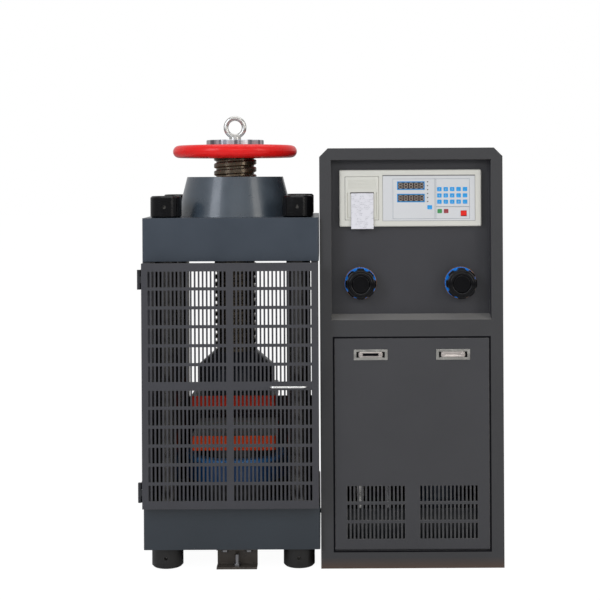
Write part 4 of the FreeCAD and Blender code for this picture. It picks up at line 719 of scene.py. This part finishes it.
# Flush latches of the service door.
# A pressed chrome cup is let into the door at each side. Its swinging lever is a die-cast chrome
# bar with a finger hollow and two domed rivets. The left one's hollow is deep, with a black sheet
# in it as painted shade.
LEVER_HOLLOWS = {"left": (0.0026, 0.0022), "right": (0.0032, 0.0004)}
RIVET_R, RIVET_H, RIVET_INSET = 0.0042, 0.0024, 0.007
FORWARD = (0, -1, 0)
latch_chrome = finish_material(
    "latch_chrome", (0.58, 0.53, 0.50), (0.75, 0.75, 0.73), 0.30, metal=1.0, grain=900, bump=0.06,
    patches=40, uneven=0.2, rub=0.7)
cup_steel = finish_material(
    "cup_steel", (0.50, 0.49, 0.46), (0.75, 0.75, 0.73), 0.24, metal=1.0, grain=900, patches=70,
    uneven=0.3, rub=0.6)
cup_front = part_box("latch_cups")[0][1]
# Deeper than 2 mm inside each cup the steel is coloured near black, as painted shade.
second_finish(cup_steel, band_mask(cup_steel, "Y", cup_front + 0.002, cup_front + 0.004),
              (0.012, 0.012, 0.012), metal=0.2, rough=0.6)
dress(cup_steel, "latch_cups")

for side, (border, depth) in LEVER_HOLLOWS.items():
    node = "latch_lever_" + side
    low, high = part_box(node)
    lever = rounded_block((low[0], low[1] + 0.0002, low[2]), high, 0.0045, 4, along=1)
    bpy.ops.object.mode_set(mode="EDIT")
    select_facing(lever, FORWARD)
    bpy.ops.mesh.bevel(offset=0.0006, segments=2, affect="EDGES")
    select_facing(lever, FORWARD)
    bpy.ops.mesh.inset(thickness=border)
    bpy.ops.mesh.inset(thickness=0.0006, depth=-depth)
    bpy.ops.mesh.inset(thickness=0.0008, depth=-0.0004)
    bpy.ops.object.mode_set(mode="OBJECT")
    rivets = [pan_head((x, low[1] + 0.0012, (low[2] + high[2]) / 2), RIVET_R, RIVET_H, TO_FRONT)
              for x in (low[0] + RIVET_INSET, high[0] - RIVET_INSET)]
    lever = finish_piece(joined([lever] + rivets), "flush_" + node, latch_chrome, "latch_" + side,
                         40)
    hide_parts(node)
    if side == "left":
        # A thin black sheet in the left lever's hollow is painted shade.
        hollow_shade = rounded_block((low[0] + 0.0046, low[1] + 0.0021, low[2] + 0.0042),
                               (high[0] - 0.0046, low[1] + 0.0029, high[2] - 0.0042), 0.0002, 1)
        finish_piece(hollow_shade, "latch_hollow_shade", painted_shade_black, "latch_left")


# Cream front panel of the controller.
# A glossy moulded frame, its edges rounded and a little lighter where they catch the light, with
# a shallow pocket for the keypad film. The sheet steel controller case is behind it.
PANEL_CREAM = (0.82, 0.81, 0.74)
panel_cream = finish_material(
    "panel_cream", PANEL_CREAM, (0.86, 0.85, 0.78), 0.34, coat=0.2, grain=900, bump=0.03, patches=5,
    uneven=0.05, rub=0.8, edge=0.003)
dress(panel_cream, "panel_bezel")
case_grey = finish_material(
    "case_grey", (0.17, 0.17, 0.18), (0.4, 0.4, 0.4), 0.46, grain=1100, bump=0.12)
dress(case_grey, "controller_case")


# Keypad film with its border lines.
# A silvery printed polyester film, slightly matt, glued into the pocket. Thin blue-grey lines
# frame its two fields. Its title and captions are left bare.
FILM_SILVER = (0.80, 0.81, 0.825)
film_silver = finish_material(
    "film_silver", FILM_SILVER, (0.8, 0.8, 0.8), 0.40, grain=1800, bump=0.05, patches=5,
    uneven=0.05, edge=0.0006)
dress(film_silver, "keypad_overlay")
film_low, film_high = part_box("keypad_overlay")
FILM_FRONT = film_low[1]
LINE_PROUD = 0.00012
line_blue = finish_material("line_blue", (0.36, 0.42, 0.50), (0.5, 0.5, 0.5), 0.4, rub=0.1)
field_low = (film_low[0] + 0.0256, film_low[2] + 0.0047)
field_high = (film_high[0] - 0.0134, film_high[2] - 0.0085)
divider = (film_low[0] + 0.1340, film_low[0] + 0.1376)
shelf = (film_low[2] + 0.0350, film_low[2] + 0.0364)
lines = [flat_frame(low, high, FILM_FRONT, width, LINE_PROUD) for low, high, width in (
    (field_low, field_high, 0.0007),
    ((divider[0], field_low[1]), (divider[1], field_high[1]), 0.0007),
    ((divider[1], shelf[0]), (field_high[0], shelf[1]), 0.0006))]
finish_piece(joined(lines), "film_lines", line_blue, "frame")
# The pocket shows as a painted shade line round the film, with a broader painted shadow along its
# top
pocket_shade_grey = finish_material("pocket_shade_grey", (0.24, 0.24, 0.24), (0.4, 0.4, 0.4), 0.5, rub=0.2)
pocket = flat_frame((film_low[0] - 0.0009, film_low[2] - 0.0006),
                    (film_high[0] + 0.0009, film_high[2] + 0.0016),
                    FILM_FRONT + 0.0001, 0.0007, 0.0003)
shadow = rounded_block((film_low[0], FILM_FRONT - 0.0002, film_high[2] - 0.0012),
                       (film_high[0], FILM_FRONT + 0.0003, film_high[2] + 0.0010), 0.0001, 1)
finish_piece(joined([pocket, shadow]), "film_pocket_shade", pocket_shade_grey, "frame")


# Display windows with blue frames and unlit digits.
# Two smoked windows, each with a blue printed frame and five seven-segment digits behind it,
# which are unlit and show as faint beige bars.
WINDOW_H = 0.020
DIGIT_W, DIGIT_H, STROKE = 0.0082, 0.0134, 0.0020
DIGIT_MARGIN, DIGIT_PITCH, DIGITS = 0.0075, 0.01365, 5
window_smoke = finish_material(
    "window_smoke", (0.034, 0.020, 0.019), (0.1, 0.1, 0.1), 0.12, coat=0.5, grain=900, patches=20,
    uneven=0.2, rub=0.1)
dress(window_smoke, "display_windows")
window_low, window_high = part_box("display_windows")
window_blue = finish_material("window_blue", (0.016, 0.34, 0.82), (0.1, 0.4, 0.8), 0.35, rub=0.2)
window_feet = (window_high[2] - WINDOW_H, window_low[2])
frames = [flat_frame((window_low[0] - 0.0014, foot - 0.0010),
                     (window_high[0] + 0.0006, foot + WINDOW_H + 0.0010),
                     FILM_FRONT, 0.0026, 0.0003) for foot in window_feet]
finish_piece(joined(frames), "window_frames", window_blue, "frame")


def digit_bar(x, z, level):
    # One pointed bar of a seven-segment digit, upright or level
    work_on()
    turn = (math.radians(90), math.radians(90) if level else 0, 0)
    bpy.ops.mesh.primitive_cylinder_add(vertices=6, radius=1, depth=1, rotation=turn,
                                        location=(x, FILM_FRONT - 0.0001, z))
    bar = bpy.context.object
    length = DIGIT_W if level else DIGIT_H / 2
    bar.scale = (STROKE * 0.55, length * 0.46, 0.0002)
    bpy.ops.object.transform_apply(location=True, rotation=True, scale=True)
    bpy.ops.object.mode_set(mode="EDIT")
    select_facing(bar, FORWARD)
    bpy.ops.mesh.inset(thickness=0.0001, depth=-0.00004)
    bpy.ops.object.mode_set(mode="OBJECT")
    return bar


def placed_copy(piece, place):
    # A copy with its own mesh, with its origin at a new place
    work_on(piece)
    bpy.ops.object.duplicate()
    copy = bpy.context.object
    copy.location = place
    return copy


digit_x, digit_z = window_low[0] + DIGIT_MARGIN, window_feet[0] + WINDOW_H / 2
bars = [digit_bar(digit_x, digit_z + level * DIGIT_H / 2, True) for level in (-1, 0, 1)]
bars += [digit_bar(digit_x + side * DIGIT_W / 2, digit_z + level * DIGIT_H / 4, False)
         for side in (-1, 1) for level in (-1, 1)]
digits = [joined(bars)]
for foot in window_feet:
    for place in range(DIGITS):
        if place or foot != window_feet[0]:
            digits.append(placed_copy(digits[0], (place * DIGIT_PITCH, 0, foot - window_feet[0])))
digit_beige = finish_material(
    "digit_beige", (0.60, 0.50, 0.41), (0.4, 0.35, 0.3), 0.4, rub=0.1, uneven=0.2)
finish_piece(joined(digits), "display_digits", digit_beige, "frame")


# Keys and indicator dots of the film.
# Embossed membrane domes under the printed film: fifteen light blue keys, one more beside the
# windows, a green and a dark red one, with plain white numbers, and six dark indicator dots.
KEY_SIZE, WIDE_KEY_SIZE = (0.0117, 0.0108), (0.0126, 0.0108)
KEY_COLUMNS = [film_low[0] + 0.1462 + 0.0166 * i for i in range(5)]
KEY_ROWS = [film_low[2] + 0.0813 - 0.0163 * i for i in range(3)]
LONE_KEY = (film_low[0] + 0.1211, film_low[2] + 0.0346)
GREEN_KEY = (film_low[0] + 0.1469, film_low[2] + 0.0245)
DARK_RED_KEY = (film_low[0] + 0.1635, film_low[2] + 0.0245)
DOTS, DOT_R, DOT_H = 6, 0.0015, 0.0010
DOT_X, DOT_TOP, DOT_PITCH = film_low[0] + 0.1159, film_low[2] + 0.1006, 0.01018
NUMBER_SIZE = 0.0062


def key_dome(x, z, size=KEY_SIZE):
    # A low rounded pad with a raised rim and a dished top
    half_x, half_z = size[0] / 2, size[1] / 2
    pad = rounded_block((x - half_x, FILM_FRONT - 0.0005, z - half_z),
                        (x + half_x, FILM_FRONT + 0.0004, z + half_z), 0.0018, 4, along=1)
    bpy.ops.object.mode_set(mode="EDIT")
    select_facing(pad, FORWARD)
    bpy.ops.mesh.bevel(offset=0.0002, segments=2, affect="EDGES")
    select_facing(pad, FORWARD)
    bpy.ops.mesh.inset(thickness=0.0010)
    bpy.ops.mesh.inset(thickness=0.0007, depth=-0.0002)
    bpy.ops.object.mode_set(mode="OBJECT")
    return pad


def key_finish(name, colour):
    # A printed key's colour, lighter where its edge is rubbed
    light = tuple(min(1, 0.35 + 0.6 * c) for c in colour)
    return finish_material(
        name, colour, light, 0.30, coat=0.15, grain=1600, bump=0.04, patches=90, uneven=0.08,
        edge=0.0005)


first_key = key_dome(KEY_COLUMNS[0], KEY_ROWS[0])
keys = [first_key]
for row, z in enumerate(KEY_ROWS):
    for column, x in enumerate(KEY_COLUMNS):
        if row or column:
            keys.append(placed_copy(first_key, (x, first_key.location.y, z)))
keys.append(key_dome(*LONE_KEY, WIDE_KEY_SIZE))
finish_piece(joined(keys), "blue_keys", key_finish("key_blue", (0.018, 0.40, 0.92)), "frame")
for place, name, colour, slot in ((GREEN_KEY, "green", (0.050, 0.33, 0.10), "film_grey"),
                                  (DARK_RED_KEY, "dark_red", (0.36, 0.035, 0.050), "rocker_red")):
    finish_piece(key_dome(*place), name + "_key", key_finish("key_" + name, colour), "frame")

dots = [pan_head((DOT_X, FILM_FRONT - 0.0003, DOT_TOP - DOT_PITCH * i), DOT_R, DOT_H, TO_FRONT)
        for i in range(DOTS)]
finish_piece(joined(dots), "indicator_dots", window_smoke, "frame")

numbers = []
for place, label in enumerate("7894561230"):
    row, column = (2, 3) if label == "0" else divmod(place, 3)
    work_on()
    bpy.ops.object.text_add(location=(KEY_COLUMNS[column], FILM_FRONT - 0.00048, KEY_ROWS[row]),
                            rotation=TO_FRONT)
    number = bpy.context.object
    number.data.body = label
    number.data.size = NUMBER_SIZE
    number.data.align_x = number.data.align_y = "CENTER"
    number.data.extrude = 0.00008
    number.data.resolution_u = 3
    bpy.ops.object.convert(target="MESH")
    numbers.append(bpy.context.object)
number_white = finish_material("number_white", (0.66, 0.76, 0.84), (0.8, 0.8, 0.8), 0.4, rub=0.1)
finish_piece(joined(numbers), "key_numbers", number_white, "frame")


# Power rocker.
# A bright red moulded rocker switch at the film's lower right corner. It tips on a short pin,
# and its face is hollowed a little.
rocker_red = finish_material(
    "rocker_gloss", (0.95, 0.012, 0.002), (1.0, 0.25, 0.2), 0.24, coat=0.1, grain=900, patches=50,
    uneven=0.08, edge=0.0006)
dress(rocker_red, "power_rocker")


# Printer: cover, body, head, paper roll and spindle.
# The cream cover is a moulding with fine ribs above, a paper slot across it, and a groove down
# each side and along its foot where its flap folds down. Its black body holds the roll.
GROOVE_HALF, GROOVE_DEPTH = 0.0011, 0.0018
GROOVE_TOP, GROOVE_FOOT = 0.9655, 0.9005
SLOT_LOW, SLOT_HIGH, SLOT_DEPTH = 0.9618, 0.9662, 0.0045
RIBS, RIB_PITCH = 7, 0.0036
RIB_FOOT, RIB_WIDTH, RIB_DEPTH = 0.0085, 0.0010, 0.0004
cover_low, cover_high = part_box("printer_cover")
COVER_FACE = cover_low[1] + 0.0003
cover = rounded_block((cover_low[0] + 0.0002, COVER_FACE, cover_low[2] + 0.0002),
                      (cover_high[0] - 0.0002, cover_high[1], cover_high[2] - 0.0002),
                      0.0022, 4, along=1)
bpy.ops.object.mode_set(mode="EDIT")
select_facing(cover, FORWARD)
bpy.ops.mesh.bevel(offset=0.0007, segments=3, affect="EDGES")
bpy.ops.object.mode_set(mode="OBJECT")


def cut_groove(piece, sides, ends, depth):
    # Cuts a rounded groove into the cover's face, between its sides in x and its ends in z
    low = (sides[0], COVER_FACE - 0.001, ends[0])
    high = (sides[1], COVER_FACE + depth, ends[1])
    tool = rounded_block(low, high, min(b - a for a, b in zip(low, high)) * 0.2, 2)
    work_on(piece)
    cut = piece.modifiers.new("groove", "BOOLEAN")
    cut.operation = "DIFFERENCE"
    cut.object = tool
    bpy.ops.object.modifier_apply(modifier="groove")
    work_on(tool)
    bpy.ops.object.delete()
    work_on(piece)


left, right = cover_low[0] + 0.0066, cover_high[0] - 0.0056
foot = GROOVE_FOOT - GROOVE_HALF
for x in (left, right):
    cut_groove(cover, (x - GROOVE_HALF, x + GROOVE_HALF), (foot, GROOVE_TOP), GROOVE_DEPTH)
cut_groove(cover, (left - GROOVE_HALF, right + GROOVE_HALF), (foot, GROOVE_FOOT + 0.0007),
           GROOVE_DEPTH)
cut_groove(cover, (left + 0.0072, right - 0.0070), (SLOT_LOW, SLOT_HIGH), SLOT_DEPTH)
for rib in range(RIBS):
    z = SLOT_HIGH + RIB_FOOT + RIB_PITCH * rib
    cut_groove(cover, (left + 0.002, right - 0.002), (z, z + RIB_WIDTH), RIB_DEPTH)
cover_cream = finish_material(
    "cover_cream", (0.81, 0.80, 0.725), (0.88, 0.87, 0.80), 0.38, coat=0.15, grain=900, bump=0.03,
    patches=6, uneven=0.05, rub=0.8, edge=0.0016)
# Deeper than 2 mm into the paper slot the cover is coloured near black, as painted shade.
in_slot_shade = band_mask(cover_cream, "Y", COVER_FACE + 0.0020, COVER_FACE + 0.0032)
second_finish(cover_cream, in_slot_shade, (0.02, 0.02, 0.02))
finish_piece(cover, "ribbed_cover", cover_cream, "frame")
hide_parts("printer_cover")
dress(moulded_black, "printer_body", "print_head")
roll_white = finish_material(
    "roll_white", (0.74, 0.74, 0.74), (0.85, 0.85, 0.85), 0.7, grain=1400, bump=0.1)
dress(roll_white, "paper_roll")


# Paper strip.
# 58 mm thermal paper, thin and smooth, comes out of the slot, bends over its lip and hangs down
# with a slight curl. A few rows of faint grey dots stand for print.
PAPER_STRIPS = 4
PAPER_GAUGE = 0.00012
ROWS_PER_METRE = 250
PAPER_LINE = [(-0.1295, 0.9634), (-0.1380, 0.9640), (-0.1425, 0.9644), (-0.1456, 0.9628),
              (-0.1468, 0.9580), (-0.1472, 0.9480), (-0.1468, 0.9340), (-0.1462, 0.9200),
              (-0.1459, 0.9060), (-0.1462, 0.8920), (-0.1471, 0.8800), (-0.1482, 0.8715)]
strip_low, strip_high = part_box("paper_strip")
paper_left, paper_right = strip_low[0] + 0.0010, strip_high[0] + 0.0008
paper = drawn_line((paper_left, 0, 0), [(paper_left, y, z) for y, z in PAPER_LINE])
bpy.ops.object.mode_set(mode="EDIT")
bpy.ops.mesh.select_mode(type="EDGE")
bpy.ops.mesh.select_all(action="SELECT")
across = {"value": ((paper_right - paper_left) / PAPER_STRIPS, 0, 0)}
for strip in range(PAPER_STRIPS):
    bpy.ops.mesh.extrude_region_move(TRANSFORM_OT_translate=across)
bpy.ops.object.mode_set(mode="OBJECT")
smooth_curl = paper.modifiers.new("smooth_curl", "SUBSURF")
smooth_curl.boundary_smooth = "PRESERVE_CORNERS"
smooth_curl.levels = smooth_curl.render_levels = 2
sheet_gauge = paper.modifiers.new("gauge", "SOLIDIFY")
sheet_gauge.thickness = PAPER_GAUGE
paper_white = finish_material(
    "paper_white", (0.90, 0.89, 0.94), (0.9, 0.9, 0.9), 0.55, grain=1600, bump=0.05, patches=10,
    uneven=0.03, rub=0.0)


def printed_mask(material):
    # Broken rows of faint dots in two narrow columns
    tree = material.node_tree
    place = tree.nodes.new("ShaderNodeTexCoord")
    rows = math_node(tree, "MULTIPLY", axis_value(material, "Object", "Z"), ROWS_PER_METRE)
    in_row = range_node(tree, math_node(tree, "FRACT", rows), 0.40, 0.50)
    specks = range_node(tree, noise_node(tree, place, 620, 1).outputs["Fac"], 0.48, 0.56)
    words = range_node(tree, noise_node(tree, place, 75, 0).outputs["Fac"], 0.46, 0.54)
    dotted = math_node(tree, "MULTIPLY", in_row, specks)
    return math_node(tree, "MULTIPLY", math_node(tree, "MULTIPLY", dotted, words), 0.55)


second_finish(paper_white, printed_mask(paper_white), (0.30, 0.30, 0.34))
finish_piece(paper, "hanging_paper", paper_white, "frame", 60)
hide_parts("paper_strip")


# Dial plates of the two valves.
# A thin blue enamelled disc with a turned copper edge lies behind each knob, with plain white
# tick marks round it.
BORE_R, DISC_R, RIM_R = 0.009, 0.0410, 0.0422
DISC_PROFILE = [(BORE_R, 0), (DISC_R, 0), (DISC_R, 0.0012), (DISC_R - 0.0005, 0.0014),
                (BORE_R, 0.0014), (BORE_R, 0)]
RIM_PROFILE = [(DISC_R, 0), (RIM_R, 0), (RIM_R, 0.0010), (RIM_R - 0.0005, 0.0016),
               (DISC_R, 0.0016), (DISC_R, 0)]
TICKS, TICK_HALF = 24, 0.0003
TICK_INNER, TICK_OUTER = 0.0382, 0.0400
dial_low, dial_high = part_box("dial_plates")
DIAL_Z = (dial_low[2] + dial_high[2]) / 2
BACK_Y = dial_high[1]
knob_boxes = [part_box("valve_knob_left"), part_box("valve_knob_right")]
KNOB_PLACES = [(low[0] + high[0]) / 2 for low, high in knob_boxes]


def turned_ring(x, back, profile):
    # A profile of (radius, reach forward from back), spun about an axis that runs front to back
    points = [(x + radius, back - reach, DIAL_Z) for radius, reach in profile]
    ring = drawn_line((x, 0, DIAL_Z), points)
    bpy.ops.object.mode_set(mode="EDIT")
    bpy.ops.mesh.select_mode(type="VERT")
    bpy.ops.mesh.select_all(action="SELECT")
    bpy.ops.mesh.spin(steps=72, angle=math.tau, center=(x, 0, DIAL_Z), axis=(0, 1, 0))
    bpy.ops.mesh.select_all(action="SELECT")
    bpy.ops.mesh.remove_doubles(threshold=0.00001)
    bpy.ops.mesh.normals_make_consistent(inside=False)
    bpy.ops.object.mode_set(mode="OBJECT")
    return ring


dial_blue = finish_material(
    "dial_enamel", (0.001, 0.25, 0.95), (0.1, 0.45, 0.9), 0.35, specular=0.15, grain=800, bump=0.03,
    patches=25, rub=0.4, edge=0.0008)
rim_copper = finish_material(
    "rim_copper", (0.36, 0.19, 0.10), (0.6, 0.4, 0.3), 0.30, metal=0.9, grain=900, patches=60,
    uneven=0.3)
discs = [turned_ring(x, BACK_Y, DISC_PROFILE) for x in KNOB_PLACES]
rims = [turned_ring(x, BACK_Y, RIM_PROFILE) for x in KNOB_PLACES]
discs = finish_piece(joined(discs), "dial_discs", dial_blue, "frame")
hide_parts("dial_plates")
finish_piece(joined(rims), "dial_rims", rim_copper, "frame")
first_tick = rounded_block((KNOB_PLACES[0] - TICK_HALF, BACK_Y - 0.00155, DIAL_Z + TICK_INNER),
                           (KNOB_PLACES[0] + TICK_HALF, BACK_Y - 0.0013, DIAL_Z + TICK_OUTER),
                           0.00008, 1)
ticks = []
for x in KNOB_PLACES:
    for mark in range(TICKS):
        tick = placed_copy(first_tick, first_tick.location + Vector((x - KNOB_PLACES[0], 0, 0)))
        bpy.ops.transform.rotate(value=math.tau * mark / TICKS, orient_axis="Y",
                                 center_override=(x, 0, DIAL_Z))
        ticks.append(tick)
work_on(first_tick)
bpy.ops.object.delete()
finish_piece(joined(ticks), "dial_ticks", number_white, "frame")


# Valve knobs.
# Eight-lobed knobs of glossy black moulded plastic on steel stems. A round bead and a dished
# cap are raised on their faces, and hand grease makes the gloss uneven.
BEAD_PROFILE = [(0.0222, -0.0006), (0.0226, 0.0012), (0.0245, 0.0024), (0.0272, 0.0028),
                (0.0298, 0.0022), (0.0314, 0.0010), (0.0318, -0.0006)]
knob_black = finish_material(
    "knob_black", (0.003, 0.003, 0.004), (0.05, 0.05, 0.05), 0.13, grain=260, bump=0.05, patches=30,
    uneven=0.3, rub=0.3, specular=0.22)
dress(knob_black, "valve_knob_left", "valve_knob_right")
knob_face = knob_boxes[0][0][1] + 0.003
for side, x in zip(("left", "right"), KNOB_PLACES):
    bead = turned_ring(x, knob_face, BEAD_PROFILE)
    roundness = bead.modifiers.new("roundness", "SUBSURF")
    roundness.levels = roundness.render_levels = 1
    finish_piece(bead, "knob_bead_" + side, knob_black, "knob_" + side, 60)


# Valve block and pressure sensor, behind the knobs.
# A milled steel block with both valves in it, with cutter marks and oil stains; the sensor is
# screwed into its top.
block_steel = finish_material(
    "block_steel", (0.28, 0.28, 0.28), (0.5, 0.5, 0.5), 0.34, metal=1.0, grain=900, bump=0.12,
    patches=20, uneven=0.25)
dress(block_steel, "valve_block", "pressure_sensor")


# Pump unit: tank with lid, pump, motor with its cowl, filler cap, pipes and fittings.
# A welded sheet tank in grey enamel carries a finned motor over a cast iron gear pump that hangs
# in the oil. Plated pipes run to the valve block and to the cylinder.
tank_paint = finish_material(
    "tank_paint", (0.022, 0.026, 0.030), (0.12, 0.12, 0.12), 0.36, coat=0.1, grain=420, bump=0.10,
    patches=8, uneven=0.14, rub=0.7)
dress(tank_paint, "oil_tank", "tank_lid")
motor_paint = finish_material(
    "motor_paint", (0.030, 0.050, 0.085), (0.2, 0.25, 0.3), 0.4, grain=260, bump=0.3, patches=14,
    uneven=0.18, rub=0.6)
dress(motor_paint, "pump_motor", "motor_cowl")
pump_iron = finish_material(
    "pump_iron", (0.07, 0.065, 0.06), (0.2, 0.2, 0.2), 0.6, metal=0.7, grain=240, bump=0.5,
    patches=20, uneven=0.3)
dress(pump_iron, "oil_pump")
dress(polished_chrome, "filler_cap")
dress(zinc, "oil_pipes", "pipe_fittings")


# Anchor bracket and its bolts.
# A bent steel angle under the base beam, painted black, with two bolts up into the beam and an
# anchor bolt through its foot, all zinc plated.
bracket_steel = finish_material(
    "bracket_steel", (0.085, 0.073, 0.062), (0.25, 0.23, 0.20), 0.42, metal=0.3, grain=400,
    bump=0.15, patches=25, uneven=0.35, rub=0.9, edge=0.002)
dress(bracket_steel, "anchor_bracket")
dress(zinc, "bracket_bolts")
